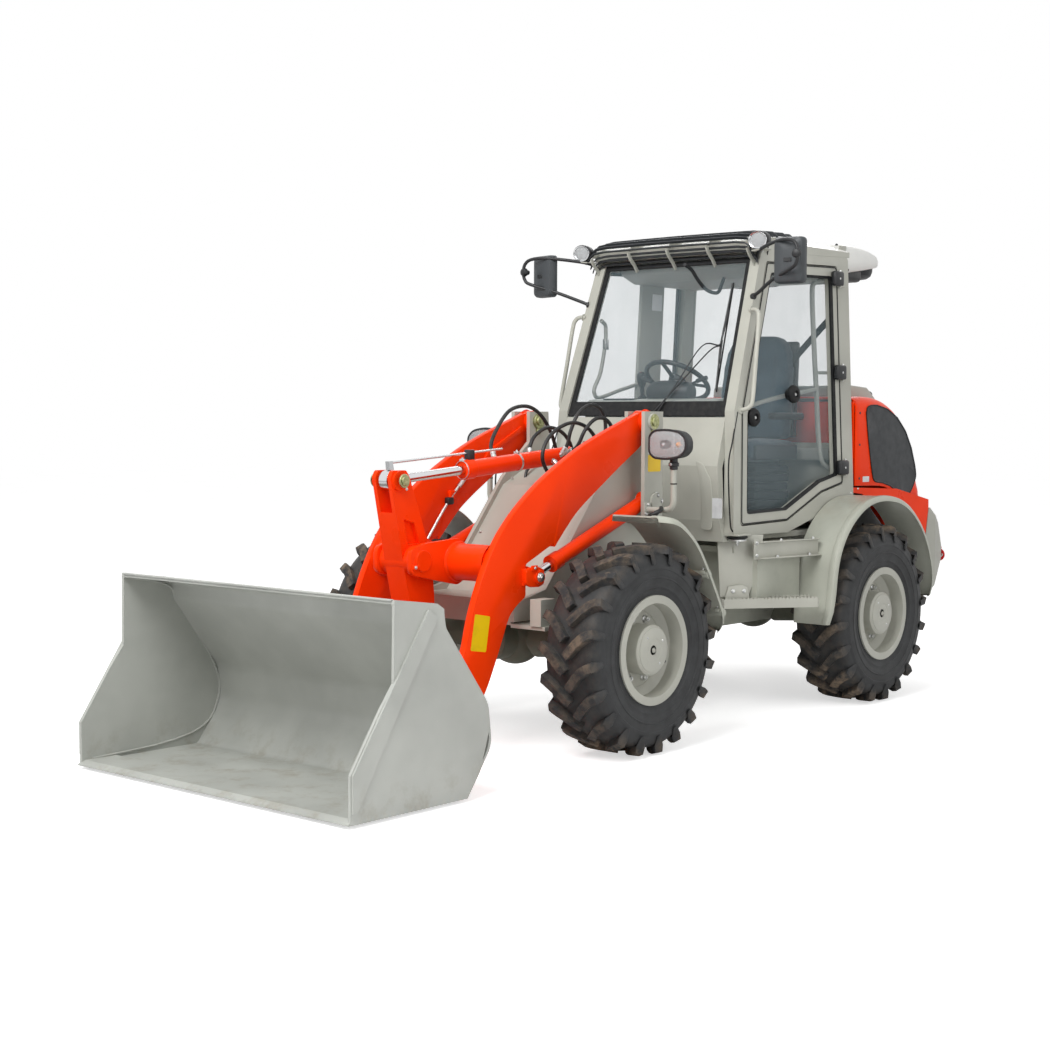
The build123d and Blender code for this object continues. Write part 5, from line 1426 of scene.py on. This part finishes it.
def hood_half(x):
    """Half the hood's width: nearly even, then drawn in round its rear corners."""
    return 602 - 28 * max(0.0, (-2300 - x) / 780) ** 1.6 - 80 * max(0.0, (-2985 - x) / 95) ** 2


class LOADER_OT_hood(bpy.types.Operator):
    """Builds the curved hood with its mesh grilles, hump and screws"""
    bl_idname = "loader.hood"
    bl_label = "Hood"

    def execute(self, context):
        top = curve_through(
            [Vector((x, 0, z)) for x, z in ((-2215, 1688), (-2330, 1694), (-2460, 1691),
                (-2600, 1668), (-2740, 1608), (-2855, 1512), (-2940, 1394), (-3005, 1262),
                (-3052, 1150), (-3078, 1086))], 4)
        base = (
            (-2215, 1188), (-2420, 1186), (-2560, 1178), (-2680, 1146), (-2760, 1100),
            (-2815, 1066), (-2880, 1078), (-3000, 1072), (-3074, 1066))
        bottom = corner_cut([(x, 0, z) for x, z in base], 12)
        shell = bmesh.new()
        rows = []
        for index, high in enumerate(top):
            share = index / (len(top) - 1)
            reach = share * (len(bottom) - 1)
            low = bottom[int(reach)].lerp(bottom[min(int(reach) + 1, len(bottom) - 1)], reach % 1)
            run = high - low
            length = run.length
            turn = min(60 + 50 * share, 0.5 * length)
            ring = [(0.0, 0.0), (0.25 * (length - turn), 0), (0.5 * (length - turn), 0),
                    (0.75 * (length - turn), 0)]
            ring += [(length - turn + turn * sin(a), turn * (1 - cos(a)))
                     for a in (0, 0.26, 0.52, 0.79, 1.05, 1.31, 1.571)]
            along = run.normalized()
            row = []
            for side in (1, -1):
                half = []
                for reach, back in ring:
                    spot = low + along * reach
                    wide = hood_half(spot.x)
                    half.append(shell.verts.new(at(spot.x, side * (wide - back), spot.z)))
                for back in (0.7, 0.35, 0.0) if side > 0 else (0.7, 0.35):
                    spot = low + along * (length + 5 * (1 - back))
                    half.append(shell.verts.new(at(spot.x, side * (wide - turn) * back, spot.z)))
                row += half if side > 0 else half[::-1]
            rows.append(row)
        skin(shell, rows, wrap=False)
        bmesh.ops.recalc_face_normals(shell, faces=shell.faces[:])
        # the outside is the side that looks away from the middle
        probe = shell.faces[len(shell.faces) // 2]
        probe.normal_update()
        if probe.normal.dot(probe.calc_center_median() - at(-2500, 0, 1200)) < 0:
            bmesh.ops.reverse_faces(shell, faces=shell.faces[:])
        for face in shell.faces:
            face.smooth = True
        data = bpy.data.meshes.new("hood_skin")
        shell.to_mesh(data)
        shell.free()
        data.materials.append(finish("orange"))
        made = bpy.data.objects.new("hood_skin", data)
        context.scene.collection.objects.link(made)
        sheet = made.modifiers.new("Sheet", "SOLIDIFY")
        sheet.thickness = 7 * MM
        sheet.offset = -1
        edge = made.modifiers.new("Edge", "BEVEL")
        edge.width = 1.5 * MM
        edge.segments = 2
        edge.limit_method = "ANGLE"
        edge.angle_limit = radians(50)
        seat(made, "hood_body", ("hood", "hood_grilles"))
        form = Form()
        outline = rounded(
            [(-2318, 1642), (-2450, 1646), (-2580, 1624), (-2700, 1576), (-2810, 1496),
                (-2890, 1396), (-2942, 1290), (-2962, 1226), (-2905, 1150), (-2818, 1092),
                (-2730, 1136), (-2620, 1180), (-2520, 1200), (-2420, 1206), (-2392, 1300),
                (-2358, 1440)], 160, 4)

        def side_at(points, side, out):
            return [at(x, side * (hood_half(x) + out), z) for x, z in points]

        for side in (1, -1):
            middle = (-2640, 1400)
            rings = []
            for share, out in (
                    (1.0, 0.5), (1.0, 3.0), (0.975, 3.0), (0.965, 1.2), (0.6, 2.6), (0.15, 3.4)):
                drawn = [(middle[0] + (x - middle[0]) * share, middle[1] + (z - middle[1]) * share)
                         for x, z in outline]
                rings.append(side_at(drawn, side, out))
            form.solid(rings, "wire")
            # a thin rolled rim holds the mesh
            rim = [((v.x - AXLE_X) / MM, v.y / MM, v.z / MM) for v in side_at(outline, side, 3.2)]
            form.tube(rim[::2] + [rim[0], rim[1]], 3.2, "seal", 6, 2)
            for z in (1230, 1420, 1600):
                form.lathe(
                    (-2262, side * 601, z), (0, side, 0), ((0, 7), (2.5, 7), (3, 5)), "black", 14)
            form.plate(
                rounded([(-2300, 1208), (-2372, 1208), (-2372, 1240), (-2300, 1240)], 6, 3),
                side * 602.4, side * 0.8, "white_film", 0)
        # hump, latch and exhaust stub
        hump = rounded([(-2286, 1684), (-2300, 1758), (-2420, 1765), (-2640, 1752), (-2735, 1690),
                        (-2760, 1600), (-2500, 1640)], 26, 4)
        form.plate(hump, -430, 860, "grey", 16, 4)
        form.lathe(
            (-2690, 382, 1708), (-1, 0, 0.05), ((0, 27), (30, 27), (34, 24), (52, 22), (58, 16)),
            "black", 24)
        form.lathe((-2746, 382, 1711), (-1, 0, 0.05), ((0, 13), (14, 12), (22, 6)), "zinc", 18)
        for x, z in ((-2318, 1712), (-2352, 1716)):
            for side in (1, -1):
                form.nut((x, side * 430, z), (0, side, 0), 9, 7, "black")
        form.box((-3062, -70, 1120), (-3090, 70, 1146), "black", 6)
        form.piece("hood_fittings", "hood_body")
        back = Form()
        for side in (1, -1):
            back.box((-3084, side * 420, 1000), (-3098, side * 560, 1064), "black", 5)
            back.box((-3096, side * 428, 1006), (-3104, side * 500, 1058), "red_lens", 4)
            back.box((-3096, side * 506, 1006), (-3104, side * 552, 1058), "amber", 4)
            back.nut((-2250, side * 600, 1172), (0, side, 0), 6, 5)
        back.piece("rear_lights", "rear_unit")
        return {"FINISHED"}


class LOADER_OT_arms(bpy.types.Operator):
    """Builds the lift arms with their curved plates, torque tube and forks"""
    bl_idname = "loader.arms"
    bl_label = "Lift arms"

    def execute(self, context):
        outline = [
            (-497, 1596), (-168, 1481), (-20, 1422), (131, 1346), (280, 1262), (415, 1163),
            (500, 1088), (572, 1010), (640, 905), (698, 793), (750, 662), (782, 531), (815, 468),
            (870, 420), (965, 355), (1030, 310), (1035, 230), (985, 186), (900, 186), (770, 215),
            (680, 280), (630, 357), (556, 509), (520, 590), (489, 658), (440, 700), (384, 733),
            (377, 745), (377, 887), (175, 975), (172, 953), (100, 1028), (18, 1107), (-80, 1174),
            (-171, 1230), (-330, 1330), (-495, 1425), (-575, 1500), (-580, 1560)]
        plate = rounded(outline, 14, 4, ease=True)
        form = Form()
        for middle in (376, -376):
            form.plate(plate, middle - 17.5, 35, "orange", 2.5)
            out = 1 if middle > 0 else -1
            form.rod((-527, middle - 36, 1546), (-527, middle + 36, 1546), 55, "orange", 40, 2)
            form.rod((950, middle - 32, 270), (950, middle + 32, 270), 85, "orange", 48, 4)
            form.lathe(
                (950, middle + out * 32, 270), (0, out, 0), ((-1, 42), (5, 42), (7, 38), (7, 12)),
                "zinc", 32)
            form.nut((950, middle + out * 38, 270), (0, out, 0), 10, 6)
            # fork of the lift cylinder
            cheek = rounded([(275, 792), (312, 779), (372, 782), (404, 800), (404, 862), (372, 874),
                             (312, 872), (275, 858)], 18, 4)
            for cheek_side in (1, -1):
                start = middle + cheek_side * 29
                form.plate(cheek, start, cheek_side * 14, "orange", 2)
                form.box((384, start, 790), (402, middle, 868), "orange", 2)
            form.lathe((315, middle + out * 43, 825), (0, out, 0),
                       ((-1, 33), (10, 33), (12, 31), (12, 25)), "orange", 30)
            form.nut((315, middle + out * 54, 825), (0, out, 0), 22, 12)
            form.box((330, middle + out * 43, 858), (372, middle + out * 52, 882), "orange", 2)
            form.nut((352, middle + out * 52, 870), (0, out, 0), 7, 5)
            # weld beads where the torque tube and the bushes meet the plate
            form.lathe(
                (545, middle - out * 17, 895), (0, -out, 0), ((0, 99), (4, 96), (10, 87), (12, 84)),
                "orange", 48, caps=False)
            form.lathe((-527, middle + out * 17, 1546), (0, out, 0), ((0, 62), (3, 60), (6, 55.5)),
                       "orange", 32, caps=False)
        form.rod((545, -364, 895), (545, 364, 895), 85, "orange", 56, 1)
        nose = rounded(
            [(545, 1003), (760, 990), (855, 970), (855, 850), (760, 830), (545, 787), (447, 835),
                (447, 955)], 45, 5)
        for middle in (96, -122):
            form.plate(nose, middle, 26, "orange", 3)
        form.rod((775, -128, 910), (775, 128, 910), 30, "zinc", 32, 2)
        for side in (1, -1):
            form.lathe((775, side * 121, 910), (0, side, 0), ((0, 50), (6, 50), (8, 47), (8, 31)),
                       "orange", 36)
            form.box((800, side * 121, 872), (846, side * 130, 896), "orange", 2)
            form.nut((830, side * 129, 884), (0, side, 0), 8, 6)
            form.lathe(
                (545, side * 123, 895), (0, side, 0), ((0, 96), (5, 93), (10, 86)), "orange", 48,
                caps=False)
            # brace along the arm's inner face
            form.prism(
                mirrored(side, (-440, 358, 1520), (-180, 358, 1392), (-120, 358, 1300),
                    (-150, 358, 1290), (-210, 358, 1378), (-450, 358, 1494)), (0, -side * 10, 0),
                "orange", 2)
            # blank yellow plate above the bucket hinge
            form.plate(
                rounded([(650, 506), (752, 522), (722, 684), (622, 666)], 8, 3), side * 393.6,
                side * 0.7, "yellow_film", 0)
        # steel pipe down the right arm's inner face, with its coupling, bracket and clamp
        form.tube(
            [(-70, -346, 1322), (110, -346, 1153), (256, -346, 978), (330, -346, 880)], 7, "zinc",
            12, 6)
        form.rod((-14, -346, 1272), (44, -346, 1216), 13, "zinc", 6, 1)
        form.box((66, -358, 1156), (108, -340, 1198), "orange", 3)
        form.box((92, -360, 1128), (134, -328, 1166), "black", 8)
        form.piece("arm_plates", "arm", ("lift_arm",))
        form = Form()
        for side in (1, -1):
            form.lathe(
                (866, side * 90, 1275), (0, side, 0), ((0, 32), (5, 32), (7, 30), (7, 22), (11, 22),
                    (13, 19)), "yellow_zinc", 30)
            form.lathe(
                (690, side * 90, 540), (0, side, 0), ((0, 34), (5, 34), (7, 31)), "yellow_zinc", 30)
            form.nut((850, side * 90, 1238), (0, side, 0), 7, 5)
        form.piece("lever_pins", "lever")
        return {"FINISHED"}


class LOADER_OT_frame_details(bpy.types.Operator):
    """Adds the pins, plates, bolts, steps and mounts of both frames"""
    bl_idname = "loader.frame_details"
    bl_label = "Frame details"

    def execute(self, context):
        form = Form()
        for side in (1, -1):
            for across, way in ((440, side), (312, -side)):
                form.lathe(
                    (-527, side * across, 1546), (0, way, 0), ((-1, 40), (11, 40), (13, 37),
                        (13, 24), (18, 24), (20, 21)), "yellow_zinc", 30)
                form.lathe((-527, side * across, 1494), (0, way, 0), ((-1, 17), (9, 17), (11, 14)),
                           "yellow_zinc", 20)
                form.nut((-527, side * across + way * 11, 1492), (0, way, 0), 9, 7)
            form.plate(
                rounded([(-592, 1386), (-488, 1386), (-488, 1468), (-592, 1468)], 8, 3),
                side * 440.2, side * 0.8, "white_film", 0)
            form.plate(
                rounded([(-592, 1298), (-488, 1298), (-488, 1382), (-592, 1382)], 8, 3),
                side * 440.2, side * 0.8, "yellow_film", 0)
            for x, z in ((-592, 1150), (-560, 1180)):
                form.nut((x, side * 440, z), (0, side, 0), 15, 12)
            # pin of the lift cylinder's foot
            form.lathe(
                (-548, side * 440, 1150), (0, side, 0), ((-1, 36), (4, 36), (6, 33)), "grey", 30)
        for x, z in ((-470, 1338), (-300, 1252), (-60, 985), (120, 770)):
            for side in (1, -1):
                form.nut((x, side * 292, z), (-0.2, 0, 1), 8, 5)
        # distributor block with its pipes between the towers
        form.box((-600, -150, 1330), (-480, 150, 1342), "grey", 3)
        form.tube([(-330, -230, 1240), (-360, -236, 1300), (-470, -240, 1344), (-560, -236, 1320),
                   (-600, -220, 1240)], 8, "hose", 10)
        form.piece("front_frame_details", "front_unit")
        rear = Form()
        for side in (1, -1):
            # rubber mounts under the cab
            for x, across in ((-1048, 598), (-2080, 560)):
                rear.box(
                    (x - 60, side * (across - 46), 962), (x + 60, side * (across + 46), 972),
                    "grey", 2)
                rear.lathe(
                    (x, side * across, 962), (0, 0, -1), ((0, 50), (3, 54), (12, 54), (16, 42),
                        (20, 42)), "seal", 30)
                rear.lathe(
                    (x, side * across, 943), (0, 0, -1), ((0, 48), (8, 48), (9, 40)), "zinc", 28)
                rear.nut((x, side * across, 935), (0, 0, -1), 12, 20)
            # black plate inside the rear wheel arch: a painted shade where the arch lies in shadow
            rear.plate(
                ((-1900, 1078), (-2100, 1128), (-2340, 1092), (-2530, 950), (-2560, 800),
                    (-1900, 800)), side * 601, side * 6, "black", 2)
            # slanted plate in front of the tank
            rear.prism(
                mirrored(side, (-1004, 504, 962), (-1206, 655, 962), (-1192, 644, 800),
                    (-1142, 607, 640), (-1019, 515, 640)), (-8, -side * 10, 0), "grey", 3)
            # upper tread: a channel with bolts through its flanges
            slant = Vector((-472, side * 72, 0)).normalized()
            turned = Vector((side * slant.y, -side * slant.x, 0))

            def upper(along, out, z):
                spot = Vector((-1148, side * 655, 0)) + slant * along + turned * out
                return (spot.x, spot.y, z)

            for low, high, out in ((838, 844, 34), (922, 928, 22)):
                rear.prism([upper(0, -10, low), upper(478, -10, low), upper(470, out, low),
                            upper(8, out, low)], (0, 0, high - low), "grey", 1.5)
            rear.prism([upper(0, 0, 840), upper(478, 0, 840), upper(478, 0, 926), upper(0, 0, 926)],
                       tuple(turned * 6), "grey", 1.5)
            rear.prism([upper(-34, 4, 836), upper(4, 0, 836), upper(4, 0, 944), upper(-34, 4, 944)],
                       tuple(turned * 6), "grey", 2)
            for along in (175, 430):
                rear.nut(upper(along - 40, 20, 844), (0, 0, 1), 9, 8)
                rear.nut(upper(along, 8, 928), (0, 0, 1), 9, 8)
            for z in (858, 922):
                rear.nut(upper(-16, 10, z), turned, 9, 8)
            # lower tread: a deep bar with teeth along its edge
            start, end = Vector((-1000, side * 545, 0)), Vector((-1420, side * 862, 0))
            slant = (end - start).normalized()
            turned = Vector((side * slant.y, -side * slant.x, 0))

            def lower(along, out, z):
                spot = start + slant * along + turned * out
                return (spot.x, spot.y, z)

            reach = (end - start).length
            teeth = [(0, 582), (reach, 582), (reach, 630)]
            count = 26
            for index in range(count):
                along = reach - 8 - (reach - 16) * index / count
                teeth += [(along, 630), (along - 4, 637), (along - 11, 637), (along - 15, 630)]
            teeth.append((0, 630))
            rear.prism([lower(along, 0, z) for along, z in teeth], tuple(turned * -5), "grey", 0)
            rear.prism([lower(along, -110, z) for along, z in teeth], tuple(turned * 5), "grey", 0)
            for index in range(1, 18):
                along = reach * index / 18
                rear.prism([lower(along, -3, 606), lower(along, -107, 606), lower(along, -107, 634),
                            lower(along, -3, 634)], tuple(slant * 5), "grey", 0)
            for along in (2, reach - 7):
                rear.prism([lower(along, -110, 582), lower(along, 0, 582), lower(along, 0, 632),
                            lower(along, -110, 632)], tuple(slant * 5), "grey", 1)
            rear.prism(
                mirrored(side, (-1036, 530, 628), (-1146, 612, 628), (-1134, 603, 690),
                    (-1108, 584, 704), (-1050, 541, 694)), (5, side * 7, 0), "grey", 2)
            for x, y in ((-1068, 559), (-1116, 595)):
                rear.nut((x, side * y, 672), (0.6, side * 0.8, 0), 13, 11)
        sticker = rounded([(497, 1052), (574, 1052), (574, 1156), (497, 1156)], 8, 3)
        rear.prism([(-943.6, y, z) for y, z in sticker], (0.8, 0, 0), "white_film", 0)
        # embossed curve on the front panel
        curve = rounded([(402, 1352), (452, 1330), (500, 1250), (512, 1160), (512, 990),
                         (440, 990), (446, 1130), (436, 1250)], 26, 4)
        for side in (1, -1):
            rear.prism([(-946, side * y, z) for y, z in curve], (5, 0, 0), "grey", 4, 3)
        rear.piece("rear_frame_details", "rear_unit", ("steps",))
        return {"FINISHED"}


def inflate(made, limit):
    """Blows a stuffed cover up with a short cloth run and caps how far a point moves."""
    scene = bpy.context.scene
    bpy.context.view_layer.objects.active = made
    made.select_set(True)
    skin = made.modifiers.new("Skin", "REMESH")
    skin.mode = "VOXEL"
    skin.voxel_size = 0.007
    bpy.ops.object.modifier_apply(modifier="Skin")
    start = [vert.co.copy() for vert in made.data.vertices]
    low, high = (Vector(map(pick, zip(*start))) for pick in (min, max))
    middle = (low + high) / 2
    held = made.vertex_groups.new(name="seams")
    # a seam along each side, and cross seams between them
    side_seam, pitch = 0.135, 1.6
    for vert in made.data.vertices:
        y = abs(vert.co.y - middle.y)
        cross = (vert.co.z + vert.co.x) * 10 % pitch - pitch / 2
        if abs(y - side_seam) < 0.005 or (y < side_seam and abs(cross) < 0.04):
            held.add([vert.index], 1.0, "REPLACE")
    cloth = made.modifiers.new("Cloth", "CLOTH")
    cloth.settings.use_pressure = True
    cloth.settings.uniform_pressure_force = 4
    cloth.settings.effector_weights.gravity = 0
    cloth.settings.vertex_group_mass = "seams"
    for number in range(1, 17):
        scene.frame_set(number)
    bpy.ops.object.modifier_apply(modifier="Cloth")
    scene.frame_set(1)
    for vert, home in zip(made.data.vertices, start):
        move = vert.co - home
        if move.length > limit:
            vert.co = home + move * (limit / move.length)
    soft = made.modifiers.new("Soft", "SUBSURF")
    soft.levels = soft.render_levels = 1
    made.select_set(False)
    for face in made.data.polygons:
        face.use_smooth = True


class LOADER_OT_seat(bpy.types.Operator):
    """Upholsters the driver's seat and hangs its belt"""
    bl_idname = "loader.seat"
    bl_label = "Seat"

    def execute(self, context):
        for name, node, outline, low, high in (
                ("cushion_cover", "seat_cushion", ((-2072, 1332), (-2076, 1440), (-1700, 1452),
                    (-1612, 1436), (-1606, 1350), (-1660, 1332)), -178, 298),
                ("backrest_cover", "seat_back", (), 0, 0)):
            form = Form()
            if outline:
                form.plate(rounded(outline, 42, 5), low, high - low, "fabric", 26, 4)
            else:
                rings = []
                for z, half, front, back in (
                        (1452, 190, -1968, -2070), (1464, 208, -1955, -2086),
                        (1560, 216, -1950, -2096), (1720, 217, -1962, -2104),
                        (1860, 213, -1988, -2110), (1940, 200, -2004, -2112),
                        (1990, 178, -2016, -2112), (2020, 146, -2030, -2108),
                        (2036, 100, -2046, -2098)):
                    flat = [(front, -half + 60), (front, -half), (back, -half), (back, half),
                            (front, half), (front, half - 60)]
                    rings.append([at(x, y + 60, z)
                                  for x, y in rounded(flat, 0.36 * (front - back), 4)])
                form.solid(rings, "fabric")
            made = form.piece(name, "rear_unit", (node,))
            inflate(made, 0.024)
        form = Form()
        for low, high in ((-200, -172), (292, 320)):
            form.box((-2060, low, 1336), (-1640, high, 1420), "dark", 10, 3)
        # shell behind the backrest, armrest on its joint, and the bellows under the cushion
        form.plate(
            rounded([(-2122, 1460), (-2150, 2000), (-2112, 2010), (-2082, 1460)], 12, 3), -150, 420,
            "black", 8)
        form.box((-2050, 318, 1560), (-1740, 372, 1600), "black", 16, 4)
        form.rod((-2000, 300, 1580), (-2000, 330, 1580), 20, "zinc", 20)
        for index in range(6):
            z = 1018 + index * 48
            form.box(
                (-2040 + 6 * (index % 2), -160, z), (-1690 - 6 * (index % 2), 280, z + 44), "seal",
                12, 3)
        # belt from the upper rear corner across to the buckle
        belt = [
            (-2140, 486, 2118), (-2128, 400, 2030), (-2104, 300, 1918), (-2060, 262, 1830),
            (-2030, 240, 1700)]
        for start, end in zip(belt, belt[1:]):
            strip = [start, end, (end[0], end[1] - 14, end[2] + 40),
                     (start[0], start[1] - 14, start[2] + 40)]
            form.prism(strip, (2.4, 0, 0), "seal", 0)
        form.lathe((-2150, 492, 2140), (1, 0, 0), ((0, 26), (12, 26), (14, 22)), "black", 20)
        form.piece("seat_fittings", "rear_unit")
        return {"FINISHED"}


class LOADER_OT_cockpit(bpy.types.Operator):
    """Builds the dash, steering wheel, levers and inner trim"""
    bl_idname = "loader.cockpit"
    bl_label = "Cockpit"

    def execute(self, context):
        form = Form()
        # dash with its binnacle
        form.plate(
            rounded([(-1052, 1320), (-1052, 992), (-1236, 992), (-1262, 1496), (-1176, 1556),
                (-1090, 1506)], 34, 5), -175, 350, "dark", 16, 4)
        form.lathe(
            (-1214, -96, 1704), (0, 1, 0), ((0, 30), (10, 48), (34, 60), (90, 66), (190, 66),
                (246, 58), (278, 44), (288, 24)), "black", 30)
        form.tube(
            [(-1206, 20, 1530), (-1240, 14, 1620), (-1288, 4, 1720), (-1330, 0, 1784)], 34, "black",
            20)
        # levers either side of the column
        for side, reach in ((1, 200), (-1, 180)):
            form.tube(mirrored(side, (-1290, 26, 1716), (-1296, 90, 1742), (-1292, reach, 1776)),
                      7, "black", 10)
            form.rod(
                (-1292, side * (reach - 40), 1766), (-1291, side * (reach + 26), 1784), 12, "black",
                14)
        # right-hand console, armrest and joystick with its bellows
        form.plate(
            rounded([(-1960, 992), (-1960, 1530), (-1700, 1560), (-1490, 1596), (-1440, 1560),
                (-1480, 992)], 34, 5), -482, 190, "dark", 18, 4)
        form.plate(
            rounded([(-1960, 1560), (-1960, 1612), (-1680, 1640), (-1660, 1600), (-1700, 1572)], 18,
                4), -470, 120, "black", 14, 4)
        ribs = []
        for index in range(7):
            size = 46 - index * 3.5
            ribs += [(index * 14, size), (index * 14 + 5, size + 3), (index * 14 + 9, size - 5)]
        form.lathe(
            (-1540, -385, 1596), (0.12, 0, 1), [(-4, 54), (0, 54)] + ribs + [(100, 16)], "seal", 24)
        form.lathe(
            (-1528, -385, 1690), (0.1, 0, 1), ((0, 12), (50, 13), (70, 24), (104, 27), (126, 25),
                (138, 15), (141, 4)), "black", 22)
        form.lathe((-1513, -385, 1822), (0.1, 0, 1), ((0, 10), (6, 10), (8, 7)), "red_lens", 14)
        for index in range(6):
            form.box((-1560 - index * 26, -470, 1590), (-1576 - index * 26, -450, 1600), "white", 2)
        # grab tube on the right-hand pillar
        form.tube(
            [(-1262, -478, 2112), (-1300, -480, 2090), (-1309, -482, 2060), (-1309, -484, 1988),
                (-1270, -486, 1824), (-1222, -488, 1740), (-1218, -488, 1704), (-1262, -488, 1680),
                (-1454, -488, 1726), (-1640, -488, 1768)], 11, "light", 14, 6)
        form.box((-1292, -492, 1950), (-1326, -470, 2010), "zinc", 4)
        # trim: wide right-hand pillar, header, rear sills and floor mat
        form.prism([(-1600, -lean(1070, -74), 1070), (-1830, -lean(1070, -74), 1070),
                    (-1830, -lean(2392, -74), 2392), (-1612, -lean(2392, -74), 2392)],
                   (0, 22, 0), "light", 8, 3)
        form.prism([(-1712, -lean(2190, -96) + 0.3, 2190), (-1806, -lean(2190, -96) + 0.3, 2190),
                    (-1806, -lean(2284, -96) + 0.3, 2284), (-1712, -lean(2284, -96) + 0.3, 2284)],
                   (0, 1, 0), "white_film", 0)
        form.plate(
            rounded([(-1440, 2440), (-1440, 2372), (-1560, 2330), (-2180, 2330), (-2180, 2440)], 30,
                4), -480, 960, "light", 10, 3)
        form.box((-2150, -490, 992), (-1060, 490, 1000), "seal", 3)
        for side in (1, -1):
            form.plate(
                ((-2150, 1000), (-2150, 1376), (-2080, 1376), (-2080, 1230), (-1860, 1186),
                    (-1600, 1090), (-1500, 1000)), side * lean(1150, -62), -side * 14, "light", 4)
        form.box((-2158, -500, 1330), (-2100, 500, 1400), "light", 12, 3)
        form.plate(
            rounded([(-1068, 1560), (-1072, 1640), (-1100, 1664), (-1180, 1672), (-1230, 1600),
                (-1230, 1560)], 22, 4), -440, 880, "light", 12, 3)
        for index in range(9):
            form.box((-1098 - index * 9, -330, 1664), (-1102 - index * 9, -120, 1672), "black", 1)
        # curved arm of the roof mirror
        form.tube([(-1120, 196, 2376), (-1180, 198, 2352), (-1240, 200, 2300), (-1322, 200, 2254),
                   (-1420, 200, 2246), (-1462, 200, 2296), (-1480, 200, 2330)], 10, "black", 12, 6)
        form.piece("cockpit_parts", "rear_unit", ("dash_console",))
        # steering wheel: rim, three spokes, horn boss and knob
        wheel = Form()
        hub = Vector((-1334.2, 0, 1770.9))
        tilt = Vector((-0.5547, 0, 0.8321)).normalized()
        across = Vector((0, 1, 0))
        down = tilt.cross(across)

        def spot(turn, radius, lift=0.0):
            return tuple(hub + (across * cos(turn) + down * sin(turn)) * radius + tilt * lift)

        rings = []
        for i in range(72):
            turn = tau * i / 72
            rings.append([at(*spot(turn, 178 + 13.5 * cos(a), 13.5 * sin(a) + 1.2 * sin(turn * 36)))
                          for a in (tau * k / 12 for k in range(12))])
        wheel.solid(rings, "black", close=True)
        for turn in (0.35, pi - 0.35, -pi / 2):
            wheel.tube(
                [spot(turn, 36, -10), spot(turn, 90, -4), spot(turn, 140, -1), spot(turn, 170, 0)],
                11, "black", 12, 5, flat=0.55)
        wheel.lathe(
            hub - tilt * 26, tilt, ((0, 34), (10, 46), (30, 50), (40, 42), (44, 20)), "black", 32)
        wheel.lathe(hub + tilt * 16, tilt, ((0, 24), (5, 22), (6, 10)), "dark", 24)
        wheel.lathe(
            Vector(spot(2.2, 176, 10)), tilt, ((0, 8), (10, 8), (16, 22), (34, 24), (46, 16)),
            "black", 20)
        wheel.piece("steering_wheel_rim", "rear_unit", ("steering_wheel",))
        return {"FINISHED"}


class LOADER_OT_bucket_details(bpy.types.Operator):
    """Adds the bucket's weld beads, top lip, scoured cutting edge and the machine's loose ironwork
    """
    bl_idname = "loader.bucket_details"
    bl_label = "Bucket details"

    def execute(self, context):
        form = Form()
        shell = [
            (1700, 838), (1440, 802), (1424, 720), (1172, 392), (1150, 222), (1290, 38), (1880, 38)]
        bead = corner_cut([(x, 0, z) for x, z in shell], 6)
        for side in (1, -1):
            form.tube([(point.x, side * 858, point.z) for point in bead[::2]], 5, "bucket", 8, 2)
            form.tube(
                mirrored(side, (1508, 881, 800), (1590, 881, 660), (1680, 881, 520),
                    (1762, 881, 390)), 2.5, "bucket", 8, 4)
        form.box((1690, -858, 850), (1708, 858, 857), "bucket", 2)
        form.prism(
            [(1945, -870, 14.4), (1945, -870, 19), (1905, -870, 34), (1905, -870, 14.4)],
            (0, 1740, 0), "worn", 1)
        form.piece("bucket_welds", "bucket_unit")
        pins = Form()
        for side in (1, -1):
            for out in (26, -26):
                pins.lathe(
                    (-3392, side * 518 + out, 730), (0, out, 0), ((-6, 12), (4, 12), (6, 9)),
                    "zinc", 16)
        pins.piece("shackle_pins", "rear_unit")
        return {"FINISHED"}


CLASSES = [
    LoaderColours, LoaderSizes, LOADER_OT_stage, LOADER_OT_paintwork, LOADER_OT_tyres,
    LOADER_OT_wheel_details, LOADER_OT_cab_outside, LOADER_OT_door_fittings, LOADER_OT_roof,
    LOADER_OT_mirrors, LOADER_OT_headlamps, LOADER_OT_hoses, LOADER_OT_fenders, LOADER_OT_hood,
    LOADER_OT_arms, LOADER_OT_frame_details, LOADER_OT_seat, LOADER_OT_cockpit,
    LOADER_OT_bucket_details]


class LOADER_PT_pieces(bpy.types.Panel):
    """Lists what builds the loader"""
    bl_idname = "LOADER_PT_pieces"
    bl_label = "Wheel loader"
    bl_space_type = "VIEW_3D"
    bl_region_type = "UI"
    bl_category = "Loader"

    def draw(self, context):
        for item in CLASSES:
            if issubclass(item, bpy.types.Operator):
                self.layout.operator(item.bl_idname)


def register():
    for item in CLASSES + [LOADER_PT_pieces]:
        bpy.utils.register_class(item)
    bpy.types.Scene.loader_colours = bpy.props.PointerProperty(type=LoaderColours)
    bpy.types.Scene.loader_sizes = bpy.props.PointerProperty(type=LoaderSizes)


def unregister():
    del bpy.types.Scene.loader_sizes
    del bpy.types.Scene.loader_colours
    for item in reversed(CLASSES + [LOADER_PT_pieces]):
        bpy.utils.unregister_class(item)


def main():
    register()
    for item in CLASSES:
        if issubclass(item, bpy.types.Operator):
            group, name = item.bl_idname.split(".")
            getattr(getattr(bpy.ops, group), name)()


if __name__ == "__main__":
    main()
